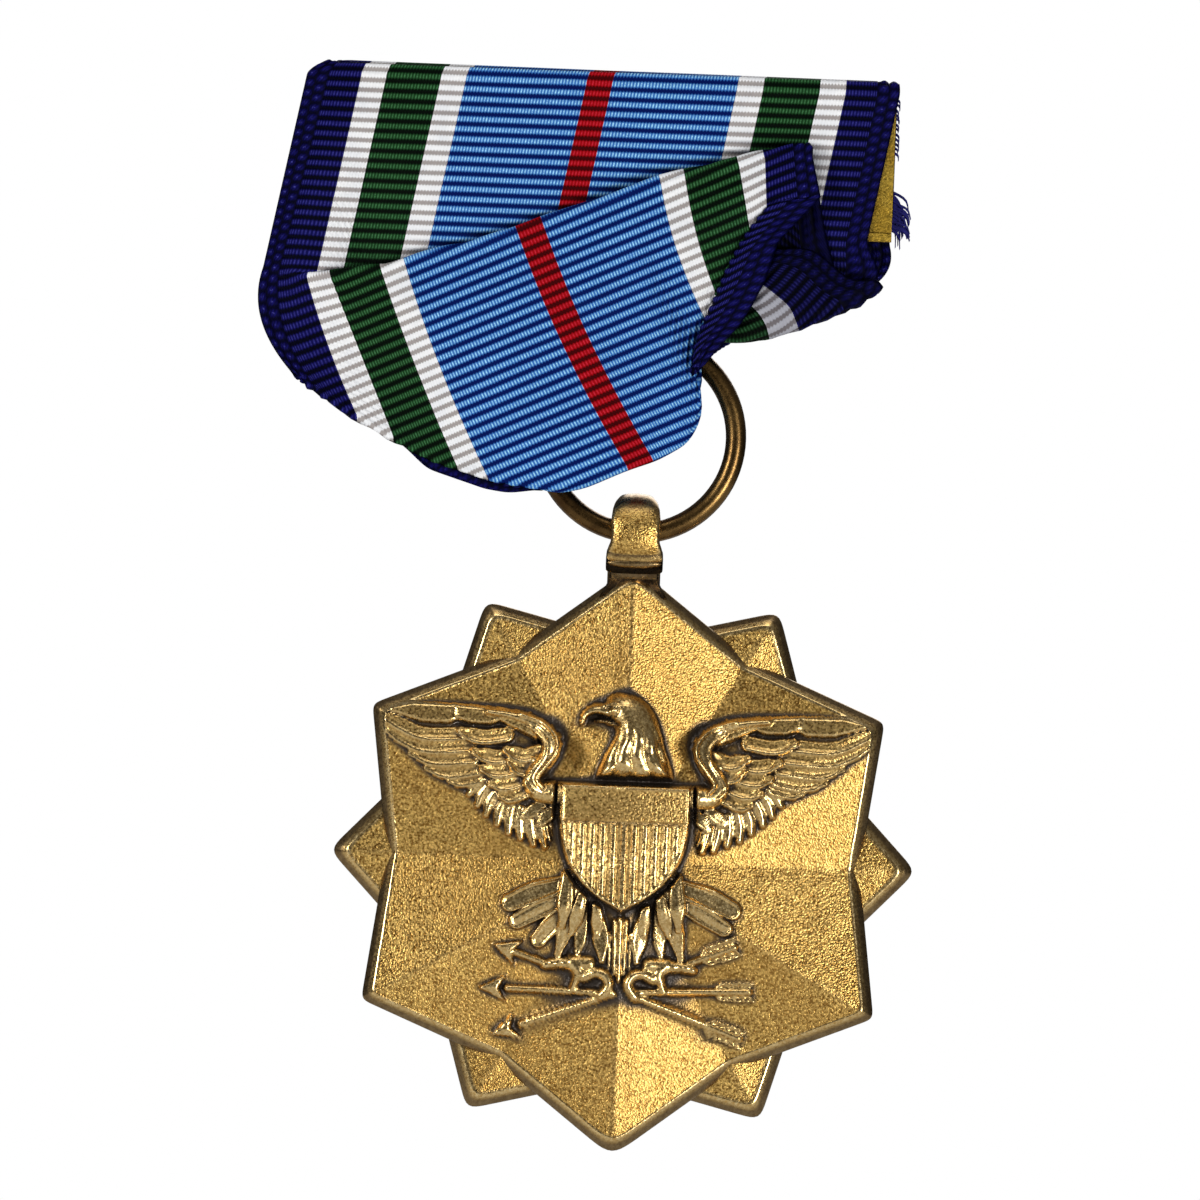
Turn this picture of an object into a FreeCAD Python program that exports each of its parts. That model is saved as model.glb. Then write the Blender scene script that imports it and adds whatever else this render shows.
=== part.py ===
"""A military service medal hanging from a pinned ribbon: a struck star, a strap, a ring, a ribbon and a brooch.

Millimetres. +X is to the right of someone facing the medal, +Z is up and the front faces -Y.
The origin is on the axis of the pin stem, level with the middle of the brooch bar.
"""

import FreeCAD, Part
import math
import os

from FreeCAD import Vector

# Driving dimensions
RIBBON_WIDTH = 34.9
CLOTH = 0.45
BAR_HEIGHT = 9.2
BAR_THICKNESS = 0.6
PENDANT_RADIUS = 18.1
RING_WIRE_RADIUS = 0.625
RING_RADIUS = 5.925
STEM_RADIUS = 0.45
RUNNING_CLEARANCE = 0.02

# Where the layers of the brooch lie, from the pin stem forwards
PLATE_BACK = -2.2
PLATE_FRONT = PLATE_BACK - 0.5
RETURN_FRONT = PLATE_FRONT - CLOTH
TAIL_FRONT = RETURN_FRONT - CLOTH
BAR_FRONT = TAIL_FRONT - BAR_THICKNESS
HEM_FRONT = BAR_FRONT - 0.2
PANEL_FRONT = HEM_FRONT - CLOTH
FLAP_FRONT = PANEL_FRONT - 1.05

# Bar and back plate
BAR_HALF_WIDTH = 17.4
BAR_HALF_HEIGHT = BAR_HEIGHT / 2
HEM_HEIGHT = 0.5
PLATE_HALF_WIDTH = 16.6
PLATE_HALF_HEIGHT = 4.2
STUD_X = 8.0
STUD_RADIUS = 0.6
STUD_HEAD_RADIUS = 1.0
STUD_HEAD_HEIGHT = 0.35

# The ribbon bends along this line just under the bar
BEND_Y = -4.2
BEND_Z = -5.6
BEND_GAP = 0.4
HEAD_BOTTOM = BEND_Z + BEND_GAP
DRAPE_TOP = BEND_Z - BEND_GAP
HEAD_BEVEL = math.radians(32)
DRAPE_FRONT_BEVEL = math.radians(38)
DRAPE_BACK_BEVEL = math.radians(60)

# Hanging parts
HANG_X = 2.45
HANG_Y = BEND_Y
RING_Z = -17.06
RING_POCKET_CLEARANCE = 0.35
RING_SEAM_WIDTH = 0.12
RING_SEAM_ANGLE = 115
WIRE_Z = RING_Z - RING_RADIUS

# Strap
STRAP_HALF_WIDTH = 1.5
STRAP_FOOT_HALF_WIDTH = 1.65
STRAP_OUTER_RADIUS = 2.3
STRAP_BORE_RADIUS = 1.4
STRAP_FOOT_Z = WIRE_Z - 1.97
STRAP_LEG_OUTSIDE = 1.25
LUG_HALF_THICKNESS = 0.45
LUG_HALF_WIDTH = 1.2
LUG_TOP = WIRE_Z - 1.5
GROOVE_Z = WIRE_Z - 1.5

# Pendant
PENDANT_Z = STRAP_FOOT_Z - PENDANT_RADIUS
PENDANT_BACK = HANG_Y + 1.3
NOTCH_RADIUS = 14.5
REAR_TIP_RADIUS = 18.0
REAR_NOTCH_RADIUS = 13.4
STAR_HEIGHTS = {"centre": 3.0, "tip": 2.2, "notch": 1.2}
REAR_HEIGHTS = {"centre": 1.6, "tip": 0.9, "notch": 0.4}
SHIELD_HEIGHT = 3.9
HEAD_HEIGHT = 3.8
WING_HEIGHT = 3.5
CLAW_HEIGHT = 3.2

# Pin, joint and catch
JOINT_X = -13.5
EYE_RADIUS = 0.95
EYE_HALF_HEIGHT = 0.75
EAR_RADIUS = 0.9
EAR_INSIDE = 0.8
EAR_OUTSIDE = 1.3
RIVET_RADIUS = STEM_RADIUS
RIVET_HEAD_RADIUS = 0.75
RIVET_HEAD_HEIGHT = 0.3
SHANK_END = 9.0
STEM_TIP = 14.4
CATCH_START = 11.0
CATCH_END = 13.2
ROTOR_RADIUS = 1.1
ROTOR_BORE_RADIUS = 0.55
ROTOR_SLOT = 0.95
ROTOR_FLANGE_RADIUS = 1.45
ROTOR_FLANGE_LENGTH = 0.6
ROTOR_TAB_REACH = 2.5
BASE_RADIUS = 1.75
BASE_MOUTH = 1.4
END_PLAY = 0.05

X_AXIS = Vector(1, 0, 0)
Y_AXIS = Vector(0, 1, 0)
Z_AXIS = Vector(0, 0, 1)


def box(x0, x1, y0, y1, z0, z1):
    return Part.makeBox(x1 - x0, y1 - y0, z1 - z0, Vector(x0, y0, z0))


def rod(radius, start, axis, length):
    return Part.makeCylinder(radius, length, Vector(*start), axis)


def prism(corners, push):
    """A closed outline of points pushed along a vector."""
    return Part.Face(Part.makePolygon(corners + corners[:1])).extrude(push)


def front_prism(outline, y_front, y_back):
    """An outline of (x, z) points seen from the front, between two depths."""
    corners = [Vector(x, y_front, z) for x, z in outline]
    return prism(corners, Vector(0, y_back - y_front, 0))


def side_prism(outline, x0, x1):
    """An outline of (y, z) points seen from the side, between two widths."""
    corners = [Vector(x0, y, z) for y, z in outline]
    return prism(corners, Vector(x1 - x0, 0, 0))


def save(name, shape):
    shape = shape.removeSplitter()
    if not shape.isValid():
        raise ValueError(f"{name} is not a valid shape")
    shape.exportStep(f"parts/{name}.step")
    print(f"{name}: {len(shape.Solids)} solid, {shape.Volume:.2f} cubic mm")


def brooch_bar():
    """A flat brass bar whose long edges are hemmed forwards."""
    plate = box(-BAR_HALF_WIDTH, BAR_HALF_WIDTH, BAR_FRONT, TAIL_FRONT, -BAR_HALF_HEIGHT, BAR_HALF_HEIGHT)
    for low in (-BAR_HALF_HEIGHT, BAR_HALF_HEIGHT - HEM_HEIGHT):
        plate = plate.fuse(
            box(-BAR_HALF_WIDTH, BAR_HALF_WIDTH, HEM_FRONT, BAR_FRONT, low, low + HEM_HEIGHT)
        )
    return plate


def stud_shanks():
    """The two shanks that pass from the bar through the ribbon's ends and the back plate."""
    length = PLATE_BACK - TAIL_FRONT
    return [rod(STUD_RADIUS, (x, TAIL_FRONT, 0), Y_AXIS, length) for x in (-STUD_X, STUD_X)]


def plate_studs():
    heads = [
        rod(STUD_HEAD_RADIUS, (x, PLATE_BACK, 0), Y_AXIS, STUD_HEAD_HEIGHT) for x in (-STUD_X, STUD_X)
    ]
    return Part.makeCompound([shank.fuse(head) for shank, head in zip(stud_shanks(), heads)])


def back_plate():
    """The plate that holds both ends of the ribbon against the bar."""
    plate = box(
        -PLATE_HALF_WIDTH, PLATE_HALF_WIDTH, PLATE_FRONT, PLATE_BACK, -PLATE_HALF_HEIGHT, PLATE_HALF_HEIGHT
    )
    corners = [e for e in plate.Edges if e.Length < 1 and abs(e.tangentAt(0).y) > 0.9]
    return plate.makeFillet(1.2, corners).cut(Part.makeCompound(stud_shanks()))


def ribbon_head():
    """The end of the ribbon that is folded over the bar, with the top corner of the pleat in front."""
    top = BAR_HALF_HEIGHT
    crown = top + CLOTH
    tail_end = -3.0
    return_end = 2.5
    panel = [
        (-RIBBON_WIDTH / 2 - 3.3, HEAD_BOTTOM),
        (-RIBBON_WIDTH / 2 - 1.6, top),
        (RIBBON_WIDTH / 2 + 0.1, top),
        (RIBBON_WIDTH / 2 - 0.55, HEAD_BOTTOM),
    ]
    front = front_prism(panel, PANEL_FRONT, HEM_FRONT)
    over = box(-RIBBON_WIDTH / 2 - 0.5, RIBBON_WIDTH / 2 + 0.1, PANEL_FRONT, RETURN_FRONT, top, crown)
    rounded = [e for e in over.Edges if abs(e.tangentAt(0).x) > 0.9 and e.CenterOfMass.z > crown - 0.1]
    over = over.makeFillet(0.35, rounded)
    tail = box(-BAR_HALF_WIDTH, BAR_HALF_WIDTH, TAIL_FRONT, RETURN_FRONT, tail_end, top)
    back = box(-BAR_HALF_WIDTH, BAR_HALF_WIDTH - 0.4, RETURN_FRONT, PLATE_FRONT, HEAD_BOTTOM, return_end)
    pleat_corner = [(-8.5, HEAD_BOTTOM), (12.4, 0.5), (13.0, -2.0), (13.0, HEAD_BOTTOM)]
    pleat = front_prism(pleat_corner, FLAP_FRONT, PANEL_FRONT)
    head = front.fuse([over, tail, back, pleat]).cut(Part.makeCompound(stud_shanks()))
    reach = 3.0
    under = [
        (HEM_FRONT + 0.1, HEAD_BOTTOM),
        (HEM_FRONT - reach, HEAD_BOTTOM + reach * math.tan(HEAD_BEVEL)),
        (HEM_FRONT - reach, HEAD_BOTTOM - 1),
        (HEM_FRONT + 0.1, HEAD_BOTTOM - 1),
    ]
    return head.cut(side_prism(under, -RIBBON_WIDTH, RIBBON_WIDTH))


def ring_path_tube(radius):
    return Part.makeTorus(RING_RADIUS, radius, Vector(HANG_X, HANG_Y, RING_Z), Y_AXIS)


def ribbon_drape():
    """The free part of the ribbon below the bar, gathered into the ring, with the ring's way cut through."""
    outline = [
        (-20.8, BEND_Z),
        (-20.5, -9.6),
        (-18.4, -14.4),
        (-10.2, -19.2),
        (-2.6, -20.7),
        (1.6, -19.0),
        (5.3, -17.2),
        (6.1, -14.1),
        (6.7, -12.0),
        (8.0, -10.6),
        (12.9, -9.1),
        (16.7, -6.9),
        (16.9, BEND_Z),
    ]
    neck = 0.25
    depth_front = BEND_Y - neck - FLAP_FRONT
    depth_back = PLATE_FRONT - BEND_Y - neck
    lowest = -21.5
    section = [
        (BEND_Y - neck, DRAPE_TOP),
        (FLAP_FRONT, DRAPE_TOP - depth_front / math.tan(DRAPE_FRONT_BEVEL)),
        (FLAP_FRONT, lowest),
        (PLATE_FRONT, lowest),
        (PLATE_FRONT, DRAPE_TOP - depth_back / math.tan(DRAPE_BACK_BEVEL)),
        (BEND_Y + neck, DRAPE_TOP),
    ]
    cloth = front_prism(outline, FLAP_FRONT, PLATE_FRONT)
    cloth = cloth.common(side_prism(section, -RIBBON_WIDTH, RIBBON_WIDTH))
    return cloth.cut(ring_path_tube(RING_WIRE_RADIUS + RING_POCKET_CLEARANCE))


def suspension_ring():
    """A ring of round wire whose ends meet in a fine seam."""
    seam = box(
        RING_RADIUS - 2 * RING_WIRE_RADIUS,
        RING_RADIUS + 2 * RING_WIRE_RADIUS,
        -2 * RING_WIRE_RADIUS,
        2 * RING_WIRE_RADIUS,
        -RING_SEAM_WIDTH / 2,
        RING_SEAM_WIDTH / 2,
    )
    seam.rotate(Vector(0, 0, 0), Y_AXIS, -RING_SEAM_ANGLE)
    seam.translate(Vector(HANG_X, HANG_Y, RING_Z))
    return ring_path_tube(RING_WIRE_RADIUS).cut(seam)


def strap_lug(clearance=0.0):
    """The tongue on top of the star that the strap's legs close on."""
    return box(
        HANG_X - LUG_HALF_WIDTH - clearance,
        HANG_X + LUG_HALF_WIDTH + clearance,
        HANG_Y - LUG_HALF_THICKNESS,
        HANG_Y + LUG_HALF_THICKNESS,
        STRAP_FOOT_Z - 1.4,
        LUG_TOP,
    )


def suspension_strap():
    """A strip folded round the ring, its legs closed on the lug, with a groove across each leg."""
    loop = rod(
        STRAP_OUTER_RADIUS, (HANG_X - STRAP_FOOT_HALF_WIDTH, HANG_Y, WIRE_Z), X_AXIS, 2 * STRAP_FOOT_HALF_WIDTH
    )
    legs = box(
        HANG_X - STRAP_FOOT_HALF_WIDTH,
        HANG_X + STRAP_FOOT_HALF_WIDTH,
        HANG_Y - STRAP_LEG_OUTSIDE,
        HANG_Y + STRAP_LEG_OUTSIDE,
        STRAP_FOOT_Z,
        WIRE_Z,
    )
    floor = WIRE_Z - STRAP_OUTER_RADIUS - 1
    below = box(
        HANG_X - 2 * STRAP_HALF_WIDTH, HANG_X + 2 * STRAP_HALF_WIDTH, HANG_Y - 5, HANG_Y + 5, floor, STRAP_FOOT_Z
    )
    body = loop.fuse(legs).cut(below)
    flank = [
        (HANG_X - STRAP_FOOT_HALF_WIDTH, STRAP_FOOT_Z),
        (HANG_X - STRAP_HALF_WIDTH, WIRE_Z),
        (HANG_X - STRAP_HALF_WIDTH + 0.15, WIRE_Z + STRAP_OUTER_RADIUS),
        (HANG_X + STRAP_HALF_WIDTH - 0.15, WIRE_Z + STRAP_OUTER_RADIUS),
        (HANG_X + STRAP_HALF_WIDTH, WIRE_Z),
        (HANG_X + STRAP_FOOT_HALF_WIDTH, STRAP_FOOT_Z),
    ]
    body = body.common(front_prism(flank, HANG_Y - 5, HANG_Y + 5))
    bore = rod(STRAP_BORE_RADIUS, (HANG_X - 3, HANG_Y, WIRE_Z), X_AXIS, 6)
    body = body.cut([bore, strap_lug()])
    depth = 0.18
    for side in (-1, 1):
        # The groove follows the leg's outer face where the loop runs into the leg.
        face = math.sqrt(STRAP_OUTER_RADIUS**2 - (WIRE_Z - GROOVE_Z) ** 2)
        groove = [
            (HANG_Y + side * (face + 0.2), GROOVE_Z + 0.25),
            (HANG_Y + side * (face - depth), GROOVE_Z),
            (HANG_Y + side * (face + 0.2), GROOVE_Z - 0.25),
        ]
        body = body.cut(side_prism(groove, HANG_X - 3, HANG_X + 3))
    return body


def star_point(radius, degrees, height):
    """A corner of the star, by its distance and angle from the star's centre and its height off the back."""
    angle = math.radians(degrees)
    x = HANG_X + radius * math.sin(angle)
    return Vector(x, PENDANT_BACK - height, PENDANT_Z + radius * math.cos(angle))


def faceted_star(tip_radius, notch_radius, turn, heights):
    """Six points with a ridge down each and a valley to each notch, on a flat back."""
    top = star_point(0, 0, heights["centre"])
    rim = []
    for k in range(12):
        if k % 2:
            rim.append((notch_radius, turn + 30 * k, heights["notch"]))
        else:
            rim.append((tip_radius, turn + 30 * k, heights["tip"]))
    front = [star_point(*corner) for corner in rim]
    back = [star_point(radius, degrees, 0) for radius, degrees, _ in rim]
    faces = [Part.Face(Part.makePolygon(back + back[:1]))]
    for k in range(12):
        after = (k + 1) % 12
        facet = [top, front[k], front[after], top]
        wall = [front[k], front[after], back[after], back[k], front[k]]
        faces += [Part.Face(Part.makePolygon(facet)), Part.Face(Part.makePolygon(wall))]
    return Part.makeSolid(Part.makeShell(faces))


def relief(outline, height):
    """A flat raised shape; its (x, z) points are measured from the star's centre."""
    points = [(HANG_X + x, PENDANT_Z + z) for x, z in outline]
    return front_prism(points, PENDANT_BACK - height, PENDANT_BACK - 1.0)


def mirrored(outline):
    return [(-x, z) for x, z in outline]


def pendant():
    """The struck star: a six-pointed star over another turned half a step, with an eagle on its front."""
    star = faceted_star(PENDANT_RADIUS, NOTCH_RADIUS, 0, STAR_HEIGHTS)
    rear = faceted_star(REAR_TIP_RADIUS, REAR_NOTCH_RADIUS, 30, REAR_HEIGHTS)
    shield = [(-4.2, 5.0), (4.2, 5.0), (4.2, 1.0), (3.0, -1.4), (0, -3.3), (-3.0, -1.4), (-4.2, 1.0)]
    neck = [(-2.0, 5.0), (-1.9, 8.2), (-0.5, 10.2), (1.2, 10.1), (2.4, 8.4), (3.0, 5.0)]
    wing = [(4.2, 1.2), (4.2, 8.0), (6.0, 9.3), (15.4, 8.9), (14.6, 7.2), (10.5, 4.6), (7.4, 1.2)]
    tail = [(-6.6, -3.0), (6.6, -3.0), (5.0, -5.4), (2.6, -7.4), (-2.6, -7.4), (-5.0, -5.4)]
    raised = [
        relief(shield, SHIELD_HEIGHT),
        relief(neck, HEAD_HEIGHT),
        relief(wing, WING_HEIGHT),
        relief(mirrored(wing), WING_HEIGHT),
        relief(tail, CLAW_HEIGHT),
    ]
    arrow_half = 0.35
    for drop in (5.2, 7.6, 10.4):
        # The arrows cross below the tail and spread to both sides.
        arrow = [(-8.3, -drop - arrow_half), (-8.3, -drop + arrow_half), (7.4, -drop + arrow_half)]
        raised.append(relief(arrow + [(7.4, -drop - arrow_half)], CLAW_HEIGHT))
    return star.fuse([rear, strap_lug()] + raised)


def pin_joint():
    """A foot with two ears that carry the stem's rivet."""
    foot = box(JOINT_X - 1.5, JOINT_X + 1.5, PLATE_BACK, PLATE_BACK + 0.45, -EAR_OUTSIDE, EAR_OUTSIDE)
    parts = []
    for low, high in ((-EAR_OUTSIDE, -EAR_INSIDE), (EAR_INSIDE, EAR_OUTSIDE)):
        parts.append(box(JOINT_X - EAR_RADIUS, JOINT_X + EAR_RADIUS, PLATE_BACK, 0, low, high))
        parts.append(rod(EAR_RADIUS, (JOINT_X, 0, low), Z_AXIS, high - low))
    hole = rod(RIVET_RADIUS, (JOINT_X, 0, -3), Z_AXIS, 6)
    return foot.fuse(parts).cut(hole)


def pin_rivet():
    rivet = rod(RIVET_RADIUS, (JOINT_X, 0, -EAR_OUTSIDE), Z_AXIS, 2 * EAR_OUTSIDE)
    for low in (-EAR_OUTSIDE - RIVET_HEAD_HEIGHT, EAR_OUTSIDE):
        rivet = rivet.fuse(rod(RIVET_HEAD_RADIUS, (JOINT_X, 0, low), Z_AXIS, RIVET_HEAD_HEIGHT))
    return rivet


def pin_stem():
    """The eye, the shank that passes through the cloth, and the tapered point."""
    eye = rod(EYE_RADIUS, (JOINT_X, 0, -EYE_HALF_HEIGHT), Z_AXIS, 2 * EYE_HALF_HEIGHT)
    shank = rod(STEM_RADIUS, (JOINT_X, 0, 0), X_AXIS, SHANK_END - JOINT_X)
    point = Part.makeCone(STEM_RADIUS, 0.08, STEM_TIP - SHANK_END, Vector(SHANK_END, 0, 0), X_AXIS)
    hole = rod(RIVET_RADIUS + RUNNING_CLEARANCE, (JOINT_X, 0, -3), Z_AXIS, 6)
    return eye.fuse([shank, point]).cut(hole)


def catch_base():
    """A split collar on a foot; the stem enters through its open mouth at the back."""
    length = CATCH_END - CATCH_START
    collar = rod(BASE_RADIUS, (CATCH_START, 0, 0), X_AXIS, length)
    foot = box(CATCH_START, CATCH_END, PLATE_BACK, -0.8, -BASE_RADIUS, BASE_RADIUS)
    bore = rod(ROTOR_RADIUS + RUNNING_CLEARANCE, (CATCH_START - 1, 0, 0), X_AXIS, length + 2)
    mouth = box(CATCH_START - 1, CATCH_END + 1, 0, 3, -BASE_MOUTH / 2, BASE_MOUTH / 2)
    return collar.fuse(foot).cut([bore, mouth])


def catch_rotor():
    """A slotted tube with a flange at each end and a thumb tab; turned, it closes the collar's mouth."""
    first = CATCH_START - END_PLAY - ROTOR_FLANGE_LENGTH
    last = CATCH_END + END_PLAY + ROTOR_FLANGE_LENGTH
    tube = rod(ROTOR_RADIUS, (first, 0, 0), X_AXIS, last - first)
    flanges = [
        rod(ROTOR_FLANGE_RADIUS, (x, 0, 0), X_AXIS, ROTOR_FLANGE_LENGTH)
        for x in (first, last - ROTOR_FLANGE_LENGTH)
    ]
    tab = box(first, first + ROTOR_FLANGE_LENGTH, -0.4, 0.4, ROTOR_BORE_RADIUS + 0.2, ROTOR_TAB_REACH)
    bore = rod(ROTOR_BORE_RADIUS, (first - 1, 0, 0), X_AXIS, last - first + 2)
    slot = box(first - 1, last + 1, 0, 3, -ROTOR_SLOT / 2, ROTOR_SLOT / 2)
    return tube.fuse(flanges + [tab]).cut([bore, slot])


os.makedirs("parts", exist_ok=True)
for make in (
    brooch_bar,
    plate_studs,
    back_plate,
    ribbon_head,
    ribbon_drape,
    suspension_ring,
    suspension_strap,
    pendant,
    pin_joint,
    pin_rivet,
    pin_stem,
    catch_base,
    catch_rotor,
):
    save(make.__name__, make())
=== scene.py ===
"""The looks of a military service medal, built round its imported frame.

Blender objects are in metres; shapes are worked out in millimetres and scaled when their mesh is made.
+X is to the right of someone facing the medal, +Z is up and the front faces -Y.
"""

import math

import bpy
import numpy as np
from mathutils import Matrix, Vector


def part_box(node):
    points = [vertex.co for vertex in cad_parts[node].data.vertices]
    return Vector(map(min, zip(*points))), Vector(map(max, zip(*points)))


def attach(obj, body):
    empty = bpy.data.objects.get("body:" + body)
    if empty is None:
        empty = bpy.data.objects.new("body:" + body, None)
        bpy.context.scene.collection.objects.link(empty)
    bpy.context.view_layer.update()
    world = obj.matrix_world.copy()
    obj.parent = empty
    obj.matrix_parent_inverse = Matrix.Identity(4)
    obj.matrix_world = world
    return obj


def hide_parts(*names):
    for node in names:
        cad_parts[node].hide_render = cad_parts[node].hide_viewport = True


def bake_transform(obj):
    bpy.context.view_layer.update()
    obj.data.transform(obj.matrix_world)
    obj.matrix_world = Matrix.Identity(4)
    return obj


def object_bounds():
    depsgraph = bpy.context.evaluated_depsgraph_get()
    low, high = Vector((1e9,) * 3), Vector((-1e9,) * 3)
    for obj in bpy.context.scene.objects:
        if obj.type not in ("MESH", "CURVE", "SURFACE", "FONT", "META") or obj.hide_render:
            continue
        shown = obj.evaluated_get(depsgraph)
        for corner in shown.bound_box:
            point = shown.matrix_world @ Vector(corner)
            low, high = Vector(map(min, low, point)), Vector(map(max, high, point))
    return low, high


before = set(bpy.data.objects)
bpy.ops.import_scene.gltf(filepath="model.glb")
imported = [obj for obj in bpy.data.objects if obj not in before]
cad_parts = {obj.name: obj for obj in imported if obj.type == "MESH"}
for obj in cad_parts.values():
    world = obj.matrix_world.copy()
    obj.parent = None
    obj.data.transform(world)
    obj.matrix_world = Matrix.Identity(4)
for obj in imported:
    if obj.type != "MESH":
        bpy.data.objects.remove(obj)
CAD_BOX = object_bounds()
MM = 0.001


# ---------------------------------------------------------------- numbers and meshes


def node_box(name):
    """A node's lowest and highest corners in millimetres."""
    low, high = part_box(name)
    return np.array(low) / MM, np.array(high) / MM


def smooth(value, start, end):
    """0 before start, 1 after end, and a smooth step between them."""
    part = np.clip((np.asarray(value, float) - start) / (end - start), 0, 1)
    return part * part * (3 - 2 * part)


def hump(value, width):
    """1 where the value is 0, falling to almost nothing at two widths on either side."""
    return np.exp(-((value / width) ** 2))


def dome(value):
    """The height of a round arch: 1 in its middle and 0 where the value is 1 or more."""
    return np.sqrt(np.clip(1 - value**2, 0, 1))


def mix(a, b, share):
    return a + (b - a) * share


def hash_noise(x, y, seed):
    """Repeatable noise from 0 to 1 at whole-number places."""
    value = np.sin(x * 127.1 + y * 311.7 + seed * 74.7) * 43758.5453
    return value - np.floor(value)


def value_noise(x, y, seed):
    """Smooth repeatable noise from -1 to 1 over a plane."""
    x0, y0 = np.floor(x), np.floor(y)
    u, v = smooth(x - x0, 0, 1), smooth(y - y0, 0, 1)
    low = mix(hash_noise(x0, y0, seed), hash_noise(x0 + 1, y0, seed), u)
    high = mix(hash_noise(x0, y0 + 1, seed), hash_noise(x0 + 1, y0 + 1, seed), u)
    return 2 * mix(low, high, v) - 1


def lengths_along(points):
    """The distance to each point along the line through them."""
    return np.r_[0, np.cumsum(np.linalg.norm(np.diff(points, axis=0), axis=1))]


def curve_through(points, count):
    """Evenly spaced points on a smooth curve through the given ones."""
    p = np.asarray(points, float)
    p = np.vstack([2 * p[0] - p[1], p, 2 * p[-1] - p[-2]])
    t = np.linspace(0, 1, 24, endpoint=False)[:, None]
    fine = []
    for a, b, c, d in zip(p[:-3], p[1:-2], p[2:-1], p[3:]):
        square, cube = 2 * a - 5 * b + 4 * c - d, 3 * b - a - 3 * c + d
        fine.append(0.5 * (2 * b + (c - a) * t + square * t**2 + cube * t**3))
    fine = np.vstack(fine + [p[-2:-1]])
    along = lengths_along(fine)
    places = np.linspace(0, along[-1], count)
    return np.column_stack([np.interp(places, along, column) for column in fine.T])


def grid_quads(rows, columns, around=False, first=0):
    """Quads of a grid of points stored row by row; around joins the last column to the first."""
    index = first + np.arange(rows * columns).reshape(rows, columns)
    if around:
        index = np.hstack([index, index[:, :1]])
    corners = (index[:-1, :-1], index[:-1, 1:], index[1:, 1:], index[1:, :-1])
    return np.stack([c.ravel() for c in corners], axis=1)


def tube_faces(rows, count, first=0, ends=1):
    """A tube of rows of points closed at both ends; ends of -1 turns the two end faces over."""
    start = tuple(range(first, first + count))
    finish = tuple(i + (rows - 1) * count for i in start)
    return [*map(tuple, grid_quads(rows, count, True, first)), start[::-ends], finish[::ends]]


def new_piece(name, body, points, faces, smooth_shaded=True):
    """A mesh piece that rides on a body, from points in millimetres."""
    mesh = bpy.data.meshes.new(name)
    mesh.from_pydata((np.asarray(points) * MM).tolist(), [], [list(map(int, f)) for f in faces])
    mesh.validate()
    mesh.update()
    piece = bpy.data.objects.new(name, mesh)
    bpy.context.scene.collection.objects.link(piece)
    if smooth_shaded:
        mesh.shade_smooth()
    if body:
        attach(piece, body)
    return piece


def add_attribute(piece, name, values):
    """A number at each vertex, which materials read by name."""
    layer = piece.data.attributes.new(name, "FLOAT", "POINT")
    layer.data.foreach_set("value", np.ascontiguousarray(values, dtype=np.float32).ravel())


# ---------------------------------------------------------------- materials


class Material:
    """A node material with short calls for the nodes that it needs."""

    def __init__(self, name):
        self.material = bpy.data.materials.new(name)
        self.material.use_nodes = True
        self.tree = self.material.node_tree
        self.shader = self.tree.nodes["Principled BSDF"]
        self.place = self.node("TexCoord").outputs["Object"]

    def set(self, **values):
        for name, value in values.items():
            self.shader.inputs[name.replace("_", " ")].default_value = value

    def wire(self, source, target):
        if isinstance(source, (int, float)):
            target.default_value = source
        elif isinstance(source, tuple):
            target.default_value = (*source, 1.0)
        else:
            self.tree.links.new(source, target)

    def give(self, socket, source):
        self.wire(source, self.shader.inputs[socket])

    def node(self, kind, **inputs):
        """A new node, with what each named input is given."""
        node = self.tree.nodes.new("ShaderNode" + kind)
        for name, source in inputs.items():
            self.wire(source, node.inputs[name])
        return node

    def attribute(self, name):
        node = self.node("Attribute")
        node.attribute_name = name
        return node.outputs["Fac"]

    def noise(self, per_mm, detail=2.0, roughness=0.5):
        """Noise from 0 to 1 with this many waves in a millimetre."""
        node = self.node("TexNoise", Scale=per_mm / MM, Detail=detail, Roughness=roughness, Vector=self.place)
        return node.outputs["Fac"]

    def cells(self, per_mm):
        return self.node("TexVoronoi", Scale=per_mm / MM, Vector=self.place).outputs["Distance"]

    def math(self, operation, a, b=0.0, clamp=False):
        node = self.node("Math")
        node.operation = operation
        node.use_clamp = clamp
        self.wire(a, node.inputs[0])
        self.wire(b, node.inputs[1])
        return node.outputs[0]

    def times(self, a, b):
        return self.math("MULTIPLY", a, b)

    def plus(self, a, b):
        return self.math("ADD", a, b)

    def wave(self, kind, value, length):
        """The sine or cosine of a distance, with this wavelength."""
        return self.math(kind, self.times(value, 2 * math.pi / length))

    def remap(self, value, start, end, low=0.0, high=1.0):
        """Carries start..end to low..high, held at both ends."""
        limits = {"From Min": start, "From Max": end, "To Min": low, "To Max": high}
        return self.node("MapRange", Value=value, **limits).outputs["Result"]

    def blend(self, share, a, b, kind="MIX"):
        """Colour a where share is 0 and colour b where it is 1."""
        node = self.node("Mix")
        node.data_type = "RGBA"
        node.blend_type = kind
        for place, source in ((0, share), (6, a), (7, b)):
            self.wire(source, node.inputs[place])
        return node.outputs[2]

    def hidden_places(self, reach_mm):
        """1 in open places, less in corners and grooves."""
        node = self.node("AmbientOcclusion", Distance=reach_mm * MM)
        node.samples = 6
        return node.outputs["AO"]

    def bump(self, height, depth_mm):
        node = self.node("Bump", Strength=0.6, Distance=depth_mm * MM, Height=height)
        self.give("Normal", node.outputs["Normal"])


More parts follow.
